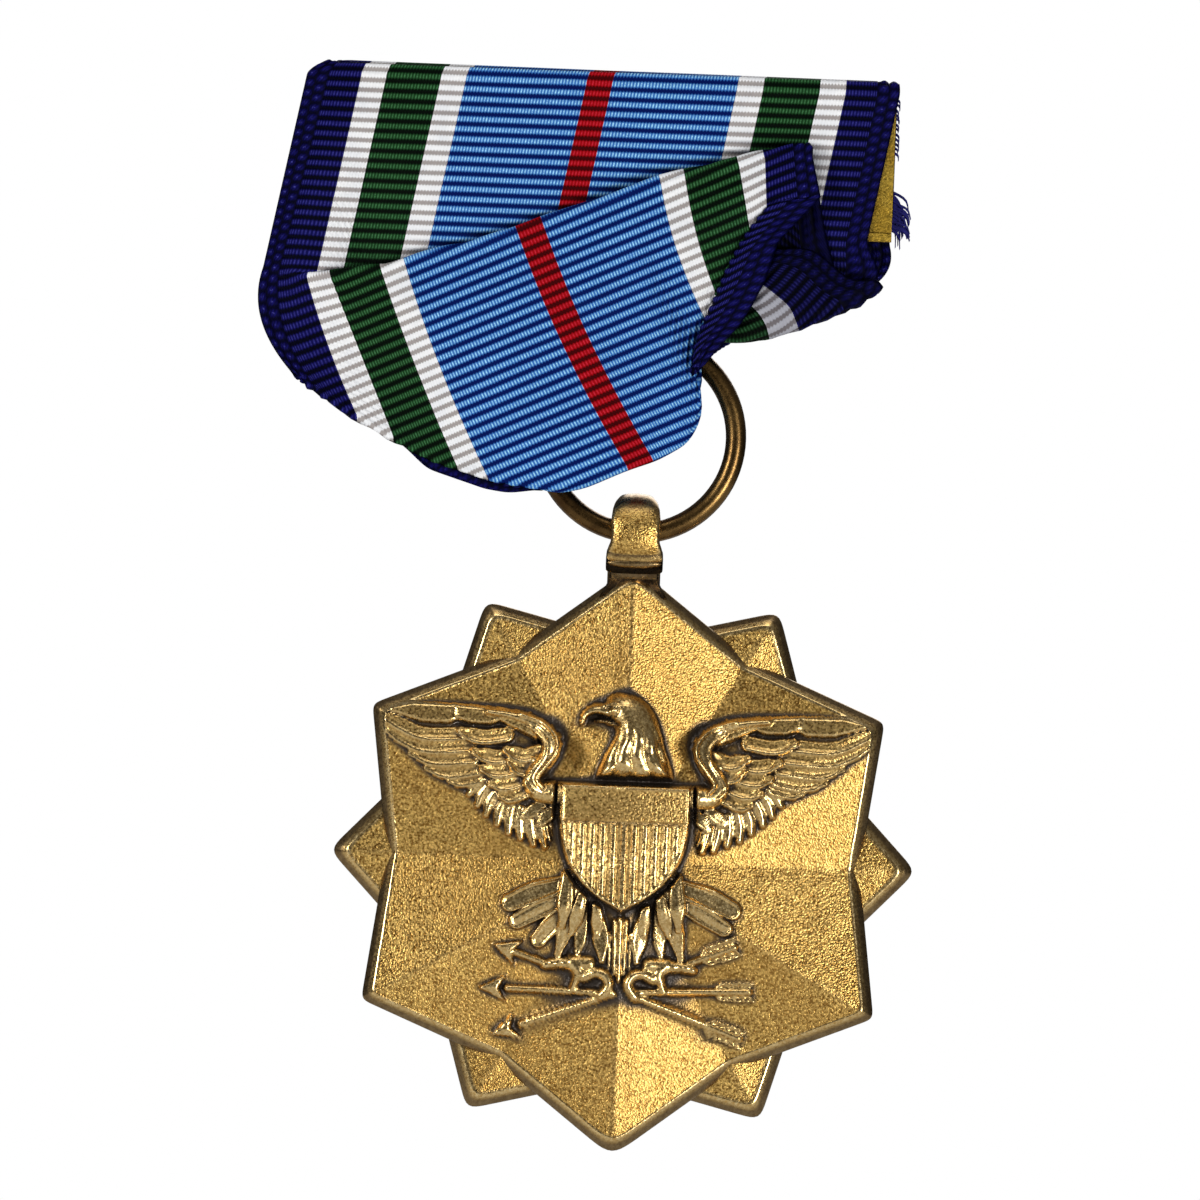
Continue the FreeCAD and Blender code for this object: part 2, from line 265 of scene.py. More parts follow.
def struck_bronze():
    """Sandblasted, oxidised bronze: glittering fields, bright high edges, dark corners and smooth sides."""
    m = Material("struck_bronze")
    grain = m.noise(6.5, 2.0, 0.6)
    coarse = m.noise(2.6, 4.0, 0.75)
    tone = m.noise(0.14, 3.0)
    glint = m.cells(9.0)
    open_share = m.remap(m.hidden_places(0.8), 0.20, 0.85)
    polish, cavity, rim = m.attribute("polish"), m.attribute("cavity"), m.attribute("rim")
    field = m.blend(m.remap(grain, 0.36, 0.64), (0.28, 0.135, 0.026), (0.97, 0.64, 0.19))
    field = m.blend(m.remap(tone, 0.35, 0.75, 0.0, 0.6), field, (0.55, 0.30, 0.07))
    field = m.blend(m.remap(coarse, 0.26, 0.36, 0.9, 0.0), field, (0.07, 0.04, 0.02))
    high = m.blend(m.remap(grain, 0.3, 0.7), (0.66, 0.40, 0.12), (0.97, 0.74, 0.36))
    metal = m.blend(polish, field, high)
    # The rim attribute gives the sides a darker, smoother colour; on the strap's hood it paints shade on the
    # loop's top and on the band below its collar.
    sides = m.blend(m.remap(coarse, 0.3, 0.7), (0.17, 0.105, 0.045), (0.36, 0.25, 0.12))
    metal = m.blend(rim, metal, sides)
    # Oxide fills corners and moats: brown at their edges and nearly black inside.
    clean = m.times(open_share, m.math("SUBTRACT", 1.0, cavity, clamp=True))
    metal = m.blend(m.remap(clean, 0.25, 0.85), (0.17, 0.115, 0.06), metal)
    metal = m.blend(m.remap(clean, 0.0, 0.6), (0.045, 0.033, 0.024), metal)
    m.give("Base Color", metal)
    m.give("Metallic", m.remap(clean, 0.0, 0.5, 0.5, 1.0))
    smoothness = m.math("MAXIMUM", m.times(polish, 0.30), m.times(rim, 0.12))
    m.give("Roughness", m.remap(m.math("SUBTRACT", grain, smoothness), 0.0, 0.8, 0.16, 0.46))
    rough = m.times(m.math("SUBTRACT", 1.0, rim, clamp=True), m.math("SUBTRACT", 1.15, polish))
    dents = m.plus(m.times(grain, 0.8), m.times(glint, 0.6))
    m.bump(m.times(dents, rough), 0.05)
    return m.material


def worn_metal(name, dark, light, roughness, depth=0.01):
    """A drawn or stamped metal with uneven tone, fine scratches and painted shade in its corners."""
    m = Material(name)
    tone = m.noise(0.35, 4.0, 0.6)
    grain = m.noise(7.2, 3.0, 0.6)
    base = m.blend(m.remap(tone, 0.3, 0.7), dark, light)
    # Painted shade: corners and places close to other parts are darkened.
    base = m.blend(m.remap(m.hidden_places(0.5), 0.25, 0.85), (0.05, 0.03, 0.015), base)
    m.give("Base Color", base)
    m.set(Metallic=1.0)
    m.give("Roughness", m.remap(grain, 0.25, 0.75, roughness * 0.7, roughness * 1.3))
    m.bump(grain, depth)
    return m.material


def dress(material, *nodes):
    """Gives carried-over CAD nodes their material."""
    for node in nodes:
        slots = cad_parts[node].data.materials
        slots.clear()
        slots.append(material)


# ---------------------------------------------------------------- the star's relief


def segment_distance(x, z, a, b):
    """Distance to a segment, and how far along it the nearest place is, from 0 to 1."""
    ax, az = a
    bx, bz = b[0] - ax, b[1] - az
    share = np.clip(((x - ax) * bx + (z - az) * bz) / (bx * bx + bz * bz), 0, 1)
    return np.hypot(x - ax - share * bx, z - az - share * bz), share


def path_distance(x, z, path):
    """Distance to a bent path, how far along it, and which side of it, positive on its left."""
    best = np.full(x.shape, 1e9)
    where, side = np.zeros(x.shape), np.zeros(x.shape)
    parts = len(path) - 1
    for k, (a, b) in enumerate(zip(path[:-1], path[1:])):
        d, share = segment_distance(x, z, a, b)
        near = d < best
        best = np.where(near, d, best)
        where = np.where(near, (k + share) / parts, where)
        turn = (b[0] - a[0]) * (z - a[1]) - (b[1] - a[1]) * (x - a[0])
        side = np.where(near, np.sign(turn), side)
    return best, where, side


def inside_distance(x, z, outline):
    """Distance to a closed outline, positive inside it."""
    best = np.full(x.shape, 1e9)
    inside = np.zeros(x.shape, bool)
    for a, b in zip(outline, [*outline[1:], outline[0]]):
        best = np.minimum(best, segment_distance(x, z, a, b)[0])
        crosses = (a[1] > z) != (b[1] > z)
        slope = (b[0] - a[0]) / ((b[1] - a[1]) or 1e-9)
        inside ^= crosses & (x < a[0] + (z - a[1]) * slope)
    return np.where(inside, best, -best)


class Relief:
    """Heights above the star's facets, built up shape by shape over a set of points."""

    def __init__(self, x, z):
        self.x, self.z = x, z
        self.height = np.zeros(x.shape)
        self.polish = np.zeros(x.shape)

    def near(self, points, margin):
        """The points within a box round a shape, because most shapes are small."""
        low, high = np.min(points, axis=0) - margin, np.max(points, axis=0) + margin
        x, z = self.x, self.z
        return np.flatnonzero((x > low[0]) & (x < high[0]) & (z > low[1]) & (z < high[1]))

    def beside(self, path, width):
        """The points near a path, then what path_distance says of them."""
        chosen = self.near(path, width)
        return chosen, *path_distance(self.x[chosen], self.z[chosen], path)

    def within(self, outline, margin):
        """The points near an outline, their x and z, and how far inside it they are."""
        chosen = self.near(outline, margin)
        x, z = self.x[chosen], self.z[chosen]
        return chosen, x, z, inside_distance(x, z, outline)

    def cover(self, chosen, height, inside, polish):
        """Lays a shape over what is there: inside it, its height replaces a lower one."""
        here = self.height[chosen]
        taller = inside & (height > here)
        self.height[chosen] = np.where(taller, height, here)
        self.polish[chosen] = np.where(taller, np.clip(polish, 0, 1), self.polish[chosen])

    def plume(self, path, width, lift, point, rim=0.0):
        """A plume from root to tip: a rounded ridge with a quill, or a raised rim round a sunk middle."""
        chosen, d, where, _ = self.beside(curve_through(path, 9), width)
        taper = mix(0.75, 1.0, smooth(where, 0, 0.5)) * (1 - (1 - point) * smooth(where, 0.55, 1.0))
        across = d / (width / 2 * taper)
        crown = dome(across)
        border = hump(across - 0.8, 0.17)
        height = mix(0.8, 1.0, where) * lift * (0.35 + 0.65 * crown**0.7)
        height += rim * (border - 0.4 * np.exp(-((across / 0.62) ** 4)))
        height += 0.07 * hump(d, 0.09) * (rim == 0)
        self.cover(chosen, height, across < 1, 0.35 + 0.65 * np.maximum(border * (rim > 0), crown**2))

    def shingle(self, path, width, lift, hand):
        """A wing feather that overlaps the next: a sunk upper part, a raised lower edge and a round tip."""
        ridge, valley = 0.15, 0.09
        path = curve_through(path, 12)
        chosen, d, where, side = self.beside(path, width)
        across = d / (width / 2 * (1 - 0.45 * smooth(where, 0.72, 1.0)))
        low = across * side * hand
        height = lift * mix(0.9, 1.0, where)
        height += ridge * hump(low - 0.62, 0.26) - valley * hump(low + 0.12, 0.36)
        tip = np.hypot(self.x[chosen] - path[-1, 0], self.z[chosen] - path[-1, 1])
        height += 0.7 * ridge * hump(tip - 0.15 * width, 0.25 * width)
        height *= 1 - 0.35 * smooth(across, 0.88, 1.0)
        height += 0.012 * np.sin(d * 38) * (low < 0.3)
        self.cover(chosen, height, across < 1, 0.3 + 0.7 * hump(low - 0.6, 0.3))

    def plate(self, outline, lift, shine=0.35):
        """A flat raised area with rounded edges."""
        edge = 0.14
        chosen, _, _, d = self.within(outline, 0.2)
        height = lift * (0.55 + 0.45 * smooth(d, 0, edge * 2))
        self.cover(chosen, height, d > 0, shine + (0.95 - shine) * hump(d - edge, edge))

    def rope(self, path, width, lift, taper=(1.0, 1.0)):
        """A rounded bar along a path; taper is how much of its width it has at its start and its end."""
        chosen, d, where, _ = self.beside(path, width)
        across = d / (width / 2 * mix(*taper, where))
        self.cover(chosen, lift * dome(across) ** 0.8, across < 1, 1.1 - across)


def flip(points):
    return [(-x, z) for x, z in points]


def placed(side):
    """Paired shapes are drawn on the left: this leaves them there, or flips them to the right."""
    return flip if side > 0 else list


def add_wing(relief, side):
    """One wing: base, secondaries, primaries, two rows of coverts and the leading band."""
    at = placed(side)
    base = [(-14.6, 8.5), (-12.6, 6.2), (-10.4, 4.7), (-9.2, 3.5), (-7.2, 2.0), (-4.4, 1.1), (-4.2, 4.0)]
    relief.plate(at(base + [(-6.0, 7.8)]), 0.16, 0.0)
    secondaries = (
        ((-8.6, 4.7), (-9.5, 3.75)),
        ((-8.25, 4.5), (-9.0, 3.1)),
        ((-7.85, 4.1), (-8.45, 2.55)),
        ((-7.35, 3.6), (-7.75, 2.0)),
        ((-6.85, 3.35), (-7.05, 1.5)),
        ((-6.35, 3.0), (-6.3, 1.2)),
        ((-5.8, 2.7), (-5.5, 0.85)),
        ((-5.2, 2.5), (-4.8, 0.75)),
    )
    for root, tip in np.array(secondaries):
        bend = mix(root, tip, np.array([0.55, 0.5])) - (0.10, 0)
        relief.plume(at([root, bend, tip]), 0.70, 0.52, 0.7)
        # A smaller feather shows in the gap to the next one.
        relief.plume(at([root + (0.36, 0.1), bend + (0.36, 0.1), tip + (0.30, 0.35)]), 0.34, 0.36, 0.45)
    for path in (
        ((-4.3, 3.1), (-4.75, 2.6), (-5.1, 2.2)),
        ((-5.1, 3.3), (-5.6, 2.9), (-6.0, 2.55)),
    ):
        relief.plume(at(path), 0.85, 0.62, 0.7, 0.1)
    primaries = (
        ((-9.0, 4.75), (-9.9, 4.55), (-10.7, 4.55)),
        ((-9.2, 5.25), (-10.8, 5.0), (-12.15, 5.3)),
        ((-9.4, 5.95), (-11.6, 5.75), (-13.15, 6.15)),
        ((-9.6, 6.65), (-12.2, 6.5), (-13.6, 6.95), (-14.95, 7.75)),
        ((-9.9, 7.4), (-12.4, 7.3), (-13.8, 7.8), (-15.25, 8.55)),
    )
    long_coverts = (
        ((-6.2, 4.05), (-6.9, 3.75), (-7.6, 3.75)),
        ((-6.3, 4.75), (-7.2, 4.45), (-8.2, 4.45)),
        ((-6.6, 5.45), (-7.7, 5.2), (-8.75, 5.35)),
        ((-6.9, 6.3), (-8.0, 6.05), (-9.25, 6.35)),
        ((-7.4, 7.45), (-8.9, 7.25), (-10.15, 7.6)),
    )
    short_coverts = (
        ((-5.7, 5.5), (-6.4, 5.4), (-7.1, 5.85)),
        ((-5.3, 6.5), (-6.3, 6.2), (-7.35, 6.55)),
    )
    rows = ((primaries, 0.92, 0.5), (long_coverts, 1.02, 0.72), (short_coverts, 1.0, 0.9))
    for feathers, width, lift in rows:
        for path in feathers:
            relief.shingle(at(path), width, lift, -side)
    far = [(-15.45, 8.85), (-13.2, 9.32), (-10.4, 9.3), (-10.4, 8.15), (-10.9, 7.98), (-12.6, 8.0)]
    far += [(-13.7, 8.3)]
    middle = [(-10.7, 9.32), (-8.0, 9.15), (-7.7, 8.2), (-8.4, 7.98), (-9.7, 8.0), (-10.7, 8.35)]
    near = [(-8.1, 9.2), (-6.0, 8.9), (-4.6, 8.0), (-5.5, 7.1), (-6.2, 7.45), (-7.0, 7.8), (-8.1, 8.3)]
    for outline, lift in ((far, 0.66), (middle, 0.82), (near, 0.96)):
        relief.plate(at(outline), lift)
    band = [(-8.6, 8.85), (-7.0, 8.65), (-5.6, 8.15), (-4.75, 7.3), (-4.75, 6.4), (-5.35, 5.55)]
    band += [(-5.75, 4.75), (-5.3, 4.15), (-4.4, 4.05)]
    crest = [(x + 0.42 if z > 5.5 else x + 0.3, z + 0.1) for x, z in band[1:-1]]
    lower = [(x - 0.36, z - 0.12) for x, z in band[2:-1]]
    relief.rope(at(curve_through(band, 48)), 1.55, 1.3, (0.35, 1.0))
    relief.rope(at(curve_through(crest, 36)), 0.62, 1.52, (0.7, 0.8))
    relief.rope(at(curve_through(lower, 36)), 0.44, 1.46, (0.7, 1.0))


def add_head(relief):
    """The head in profile, facing left, with a hooked beak, a brow, an eye and a feathered neck."""
    outline = [(-1.9, 5.0), (-1.6, 6.0), (-1.0, 7.2), (-0.75, 7.9), (-1.15, 8.5), (-1.6, 9.2), (-1.3, 10.0)]
    outline += [(-0.7, 10.3), (0.1, 10.25), (0.9, 9.9), (1.5, 9.25), (1.95, 8.3), (2.3, 7.0), (2.75, 5.8)]
    chosen, x, z, d = relief.within(curve_through(outline + [(2.9, 5.0)], 44), 0.4)
    skull = 1.25 * dome(1 - np.clip(d / 1.25, 0, 1))
    neck = smooth(z, 8.6, 7.2)
    fan = (x - 0.3) / (1.1 + 0.42 * (8.6 - z))
    strands = np.abs(np.sin(fan * 7.0 + 0.35 * np.sin(z * 3.1)))
    tufts = np.abs(np.sin(z * 2.4 + np.floor(fan * 2.2 + 10) * 1.7))
    height = skull + neck * (0.20 * strands + 0.10 * tufts - 0.12)
    relief.cover(chosen, height, d > 0, 0.45 + 0.6 * (strands - 0.4) * neck + 0.3 * (skull > 1.0))
    upper_beak = [(-1.2, 9.15), (-2.0, 9.25), (-2.6, 8.95), (-2.85, 8.3)]
    relief.rope(curve_through(upper_beak, 20), 1.0, 1.0, (1.0, 0.25))
    lower_beak = [(-0.9, 8.45), (-1.5, 8.55), (-2.0, 8.5)]
    relief.rope(curve_through(lower_beak, 10), 0.5, 0.7, (1.0, 0.3))
    gape = [(-0.6, 8.35), (-1.4, 8.75), (-2.1, 8.75), (-2.45, 8.5)]
    d, _, _ = path_distance(x, z, curve_through(gape, 16))
    relief.height[chosen] -= 0.35 * hump(d, 0.12) * (relief.height[chosen] > 0.3)
    brow = [(-1.5, 9.45), (-1.0, 9.6), (-0.4, 9.45)]
    relief.rope(curve_through(brow, 10), 0.34, 1.42, (0.5, 1.0))
    eye = np.hypot(x + 0.95, z - 9.2)
    relief.height[chosen] += 0.16 * hump(eye, 0.13) - 0.20 * hump(eye - 0.27, 0.09)


def add_legs(relief):
    """Side tail feathers with raised rims, feathered legs, and the middle tail between them."""
    side_tail = (
        ([(-3.5, -3.2), (-4.3, -4.1), (-4.95, -4.95)], 1.25),
        ([(-3.5, -2.4), (-5.0, -3.1), (-6.3, -3.85)], 1.25),
        ([(-3.7, -1.5), (-5.4, -2.1), (-6.75, -2.75)], 1.4),
    )
    legs = (
        ([(-2.9, -1.6), (-3.2, -3.6), (-3.75, -5.8)], 1.25, 0.66),
        ([(-1.5, -3.0), (-1.2, -4.6), (-1.05, -6.1)], 1.05, 0.66),
        ([(-2.3, -2.6), (-2.4, -4.4), (-2.6, -6.2)], 0.8, 0.5),
        ([(-3.3, -0.9), (-3.4, -2.4), (-3.55, -4.1)], 1.05, 0.88),
        ([(-2.4, -2.2), (-2.65, -3.3), (-3.0, -4.5)], 0.95, 0.92),
        ([(-1.5, -2.8), (-1.45, -3.6), (-1.5, -4.5)], 0.8, 0.9),
    )
    for side in (-1, 1):
        at = placed(side)
        # The left side shows three tail feathers and the right side two.
        for path, width in side_tail[side > 0 :]:
            relief.plume(at(path), width, 0.48, 0.85, 0.17)
        for path, width, lift in legs:
            relief.plume(at(path), width, lift, 0.4, 0.09)
    relief.rope([(0.0, -3.2), (0.0, -7.3)], 0.42, 0.5, (1.2, 0.8))
    for side in (-1, 1):
        relief.rope([(0.38 * side, -3.6), (0.3 * side, -6.9)], 0.32, 0.46, (1.0, 0.7))
        relief.rope([(0.66 * side, -4.4), (0.62 * side, -6.5)], 0.28, 0.4, (1.0, 0.7))


def add_arrows(relief):
    """Three arrows, heads to the left and vanes to the right, held in the claws."""
    arrows = (
        ((-7.8, -5.3), (-4.4, -6.42), (4.2, -6.12), (7.0, -5.0)),
        ((-8.6, -8.0), (-1.2, -8.05), (1.2, -7.95), (8.0, -7.7)),
        ((-7.7, -10.9), (-0.3, -8.1), (0.9, -8.15), (7.5, -10.6)),
    )
    barb = 1.8
    for tip, left, right, end in np.array(arrows):
        relief.rope([tip + (left - tip) * 0.25, left], 0.52, 0.62)
        relief.rope([right, end], 0.52, 0.62)
        along = (left - tip) / np.linalg.norm(left - tip)
        cross = np.array([-along[1], along[0]])
        corners = ((0, 0), (barb, 0.88), (barb * 0.74, 0), (barb, -0.88))
        head = [tip + along * a + cross * c for a, c in corners]
        chosen, x, z, d = relief.within(head, 0.3)
        spine, _ = segment_distance(x, z, tip, tip + along * barb)
        height = 0.52 + 0.24 * np.clip(1 - spine / 0.8, 0, 1)
        relief.cover(chosen, np.where(d > 0.06, height, height * 0.6), d > 0, 0.9)
        along = (right - end) / np.linalg.norm(right - end)
        for sign in (-1, 1):
            cross = sign * np.array([-along[1], along[0]])
            corners = ((0, 0.06), (-0.35, 0.62), (1.75, 0.58), (2.35, 0.06))
            chosen, x, z, d = relief.within([end + along * a + cross * c for a, c in corners], 0.3)
            barbs = (x - end[0]) * along[0] + (z - end[1]) * along[1]
            barbs += 0.8 * np.abs((x - end[0]) * cross[0] + (z - end[1]) * cross[1])
            height = 0.34 + 0.06 * np.sin(barbs * 13) + 0.14 * hump(d, 0.11)
            relief.cover(chosen, height, d > 0, 0.5 + 0.4 * hump(d, 0.12))
    claws = (
        (0.95, 0.84, (1.1, 0.7), [(-1.9, -6.3), (-2.9, -6.3), (-3.7, -6.35), (-4.5, -6.5)]),
        (0.95, 0.92, (1.1, 0.45), [(-2.9, -6.3), (-2.45, -6.75), (-2.6, -7.3), (-2.78, -7.9)]),
        (1.0, 0.96, (0.8, 0.75), [(-2.1, -7.15), (-1.5, -6.85), (-0.9, -6.95), (-0.6, -7.55), (-1.05, -8.25)]),
    )
    for side in (-1, 1):
        at = placed(side)
        for width, lift, taper, path in claws:
            relief.rope(curve_through(at(path), 20), width, lift, taper)
        for x, z in ((-4.0, -6.4), (-3.3, -6.35), (-2.55, -6.6)):
            relief.rope(at([(x, z), (x - 0.12, z)]), 0.80, 0.92)


def add_shield(relief):
    """A shield with a raised rim, a plain chief and upright pales below it."""
    half, top, chief = 4.15, 4.85, 2.4
    pitch = 2 * half / 13
    foot = curve_through([(half, 2.6), (3.85, 0.7), (3.1, -0.9), (1.75, -2.25), (0.0, -3.25)], 26)
    right = [(half, top), *foot]
    chosen, x, z, d = relief.within(right + flip(right[-2::-1]), 0.5)
    bow = 1.35 + 0.28 * np.clip(1 - (x / 4.4) ** 2, 0, 1) - 0.12 * smooth(z, 3.0, -3.0)
    field = smooth(d, 0.34, 0.46)
    stripes = smooth(np.cos(2 * np.pi * x / pitch), -0.35, 0.35)
    below = smooth(z, chief + 0.03, chief - 0.05)
    height = bow * smooth(d, 0.0, 0.32) - field * 0.13
    height += field * below * (0.13 * stripes - 0.06)
    height -= 0.16 * hump(z - chief, 0.07) * field
    relief.cover(chosen, height, d > 0, 0.2 + 0.8 * hump(d - 0.28, 0.14) + 0.55 * below * stripes * field)
    moat = hump(np.clip(-d, 0, None), 0.16) * (d <= 0)
    relief.height[chosen] *= 1 - 0.75 * moat


def star_relief(x, z):
    relief = Relief(x, z)
    add_wing(relief, -1)
    add_wing(relief, 1)
    for add in (add_legs, add_arrows, add_head, add_shield):
        add(relief)
    return relief


# ---------------------------------------------------------------- the star

PENDANT_LOW, PENDANT_HIGH = node_box("pendant")
STRAP_LOW, STRAP_HIGH = node_box("suspension_strap")
STAR_X, STAR_BACK = (PENDANT_HIGH[0] + PENDANT_LOW[0]) / 2, PENDANT_HIGH[1]
REAR_TIP = (PENDANT_HIGH[0] - PENDANT_LOW[0]) / 2
FRONT_TIP = REAR_TIP + 0.1
STAR_Z = PENDANT_LOW[2] + FRONT_TIP
# Each star: radii of its tips and notches, its turn in degrees, and its height above the medal's back.
FRONT = {"tip": FRONT_TIP, "notch": 14.5, "turn": 0, "heights": (2.95, 2.1, 1.05), "back": 0.12}
REAR = {"tip": REAR_TIP, "notch": 13.4, "turn": 30, "heights": (1.4, 0.85, 0.3), "back": 0.0}
CHAMFER = 0.6
RELIEF = 0.72
STRAP_MIDDLE = (STRAP_LOW + STRAP_HIGH) / 2


def star_rim(tip, notch, turn, heights, steps):
    """Places round the outline of a six-pointed star, and the front's height at each."""
    corners = []
    for j in range(13):
        angle = math.radians(turn + 30 * j)
        radius, height = (notch, heights[2]) if j % 2 else (tip, heights[1])
        corners.append((radius * math.sin(angle), radius * math.cos(angle), height))
    rim = []
    for a, b, count in zip(np.array(corners[:-1]), np.array(corners[1:]), steps):
        rim += [mix(a, b, i / count) for i in range(count)]
    rim = np.array(rim)
    return rim[:, :2], rim[:, 2]


def rounded(rim, rounds):
    """The outline with its corners rounded off by averaging its neighbours."""
    for _ in range(rounds):
        rim = (np.roll(rim, 1, axis=0) + 2 * rim + np.roll(rim, -1, axis=0)) / 4
    return rim


def star_shell(star, steps, rows, inner, rounding, with_relief):
    """One closed star: facets, a chamfered rim, a side wall and a flat back.

    Gives its points and faces, its polish, relief, side and darkening at each point.
    """
    tip, notch, turn, heights, back = star.values()
    centre = heights[0]
    rim, rim_rise = star_rim(tip, notch, turn, heights, steps)
    count = len(rim)
    at_tips = (0.5 + 0.5 * np.cos(6 * (np.arctan2(rim[:, 0], rim[:, 1]) - math.radians(turn))))[:, None]
    soft_rim = mix(rounded(rim, 2), rounded(rim, rounding), at_tips)
    across, up = notch * math.sin(math.radians(30)), notch * math.cos(math.radians(30))
    last = 1 - CHAMFER * math.dist((0, tip), (across, up)) / (tip * across)
    layers, rises = [], []
    for s in np.linspace(inner, last - 0.006, rows):
        layers.append(s * mix(rim, soft_rim, smooth(s, last - 0.05, last)))
        rises.append(mix(centre, rim_rise, s))
    edge = rises[-1]
    for out, down in ((0.0, 0.02), (0.08, 0.07), (0.5, 0.42), (0.9, 0.75), (1.0, 0.9)):
        layers.append(mix(last, 1.0, out) * soft_rim)
        rises.append(edge - 0.62 * down)
    wall = rises[-1]
    for share in (0.6, 0.25, 0.08):
        layers.append(layers[-1])
        rises.append(mix(back, wall, share))
    for s in (0.985, 0.9, 0.5):
        layers.append(s * soft_rim)
        rises.append(np.full(count, back))
    x, z = np.vstack(layers).T
    rise = np.concatenate(rises)
    radius = np.hypot(x, z)
    front = np.arange(len(x)) < rows * count
    polish, lifted = np.zeros(len(x)), np.zeros(len(x))
    if with_relief:
        relief = star_relief(x[front], z[front])
        lifted[front] = RELIEF * relief.height
        polish[front] = relief.polish
        # The head and shield stand at one level whatever the facet under them does.
        level = smooth(radius, 11.5, 7.0) * smooth(np.abs(x), 6.0, 4.2) * smooth(z, -4.5, -2.5)
        rise = rise + lifted + (centre - rise) * level * smooth(lifted, 0.1, 0.65)
    bare = front * (lifted < 0.05)
    rise = rise + 0.02 * value_noise(x * 0.8, z * 0.8, 3) * bare
    # Both hubs close the star in its middle, front and back.
    hub = [(STAR_X, STAR_BACK - centre - lifted[:count].mean(), STAR_Z), (STAR_X, STAR_BACK - back, STAR_Z)]
    points = np.vstack([np.column_stack([STAR_X + x, STAR_BACK - rise, STAR_Z + z]), hub])
    faces = [tuple(f[::-1]) for f in grid_quads(len(layers), count, around=True)]
    ring = np.arange(count)
    after = np.roll(ring, -1)
    last_ring = len(x) - count
    faces += [(len(x), b, a) for a, b in zip(after, ring)]
    faces += [(len(x) + 1, b + last_ring, a + last_ring) for a, b in zip(ring, after)]
    edge_end = (rows + 2) * count
    polish[(rows - 1) * count : edge_end] = 1.0
    side = np.r_[np.zeros(edge_end), np.ones(len(points) - edge_end)]
    # Ridges between the facets are a little worn, and the colour is darker beside them and in the valleys.
    angle = np.abs((np.degrees(np.arctan2(x, z)) - turn + 30) % 60 - 30)
    from_ridge, from_valley = radius * np.radians(angle), radius * np.radians(30 - angle)
    polish = np.maximum(polish, 0.12 * hump(from_ridge, 0.22) * bare * (radius > 4))
    facet_darkening = 0.22 * hump(from_valley, 0.28) + 0.16 * hump(from_ridge - 0.3, 0.3)
    facet_darkening *= bare * (radius > 3)
    return points, faces, np.r_[polish, 0, 0], lifted, side, np.r_[facet_darkening, 0, 0]


def make_lug(first):
    """The shoulder above the star's top corner that the strap closes on, with a peaked upper edge."""
    outline = [(-2.1, -27.0), (-1.62, -26.1), (-1.62, -25.3), (-0.8, -25.12), (0, -24.9)]
    outline += flip(outline[-2::-1])
    points, shine = [], []
    for inset, depth in ((0.12, 0.2), (0.0, 0.32), (0.0, 1.6), (0.14, 1.8)):
        for x, z in outline:
            shrink = 1 - inset / 1.6
            points.append((STAR_X + x * shrink, STAR_BACK - depth, mix(-26.0, z, shrink)))
            shine.append(float(depth > 1.5 and z > -25.6))
    return np.array(points), tube_faces(4, len(outline), first, -1), np.array(shine)


def make_tongue(first):
    """The tongue between the strap's legs, which holds it to the star."""
    points = []
    for inset, z in ((0, -25.8), (0, PENDANT_HIGH[2] - 0.15), (0.15, PENDANT_HIGH[2])):
        for x, y in ((-1, -1), (1, -1), (1, 1), (-1, 1)):
            points.append((STRAP_MIDDLE[0] + x * (1.4 - inset), STRAP_MIDDLE[1] + y * (0.95 - inset), z))
    return np.array(points), tube_faces(3, 4, first)


def make_hood():
    """The strap as it shows: a rounded loop over the ring that narrows to a collar at its foot."""
    outer = (STRAP_HIGH[1] - STRAP_LOW[1]) / 2
    wire_z = STRAP_HIGH[2] - outer
    turns = np.radians(np.linspace(-50, 230, 57))
    loop = np.column_stack([-outer * np.cos(turns), outer * np.sin(turns)])
    down = np.linspace(1, 0, 12, endpoint=False)[:, None]
    foot = np.array([-1.25, STRAP_LOW[2] - wire_z])
    leg = foot + (loop[0] - foot) * (1 - down) + np.array([-0.28, 0]) * np.sin(np.pi * down)
    path = np.vstack([leg, loop, leg[::-1] * (-1, 1)])
    along = np.gradient(path, axis=0)
    along /= np.linalg.norm(along, axis=1)[:, None]
    normal = np.column_stack([-along[:, 1], along[:, 0]])
    # Everything else follows from how far below the loop's top a place is.
    fall = outer - path[:, 1]
    widths = (1.12, 1.32, 1.45, 1.5, 1.45, 1.5, 1.68, 1.7)
    width = np.interp(fall, (0, 0.25, 0.7, 1.3, 2.4, 3.0, 3.6, 4.3), widths)
    thick = np.interp(fall, (0, 2.0, 4.3), (0.85, 0.9, 0.75))[:, None]
    collar = (0.16 * smooth(fall, 3.72, 3.78) - 0.14 * hump(fall - 3.70, 0.06))[:, None]
    around = np.radians(np.linspace(0, 360, 28, endpoint=False))
    cx = np.sign(np.cos(around)) * np.abs(np.cos(around)) ** 0.45
    cy = np.sign(np.sin(around)) * np.abs(np.sin(around)) ** 0.55
    depth = thick * (cy - 1) / 2 + (0.14 * (1 - cx**2) + 0.6 * collar) * (cy > 0)
    x = STAR_X + (width[:, None] + collar * 0.3) * cx
    y = STRAP_MIDDLE[1] + path[:, :1] + normal[:, :1] * depth
    z = wire_z + path[:, 1:] + normal[:, 1:] * depth
    points = np.stack([x, y, z], axis=-1).reshape(-1, 3)
    count = len(around)
    piece = new_piece("strap_hood", "medal", points, tube_faces(len(path), count))
    sides = smooth(np.abs(cx), 0.80, 0.97)
    add_attribute(piece, "polish", np.maximum.outer(hump(fall - 3.84, 0.07), 0.8 * sides))
    add_attribute(piece, "cavity", np.repeat(hump(fall - 3.68, 0.09), count))
    # Painted shade: the loop's top, which turns away from the front, and the band below the collar take the
    # sides' dark colour.
    brown = np.maximum(smooth(fall, 1.5, 0.4), 0.9 * smooth(fall, 3.9, 4.0))
    add_attribute(piece, "rim", np.repeat(brown, count))
    return piece


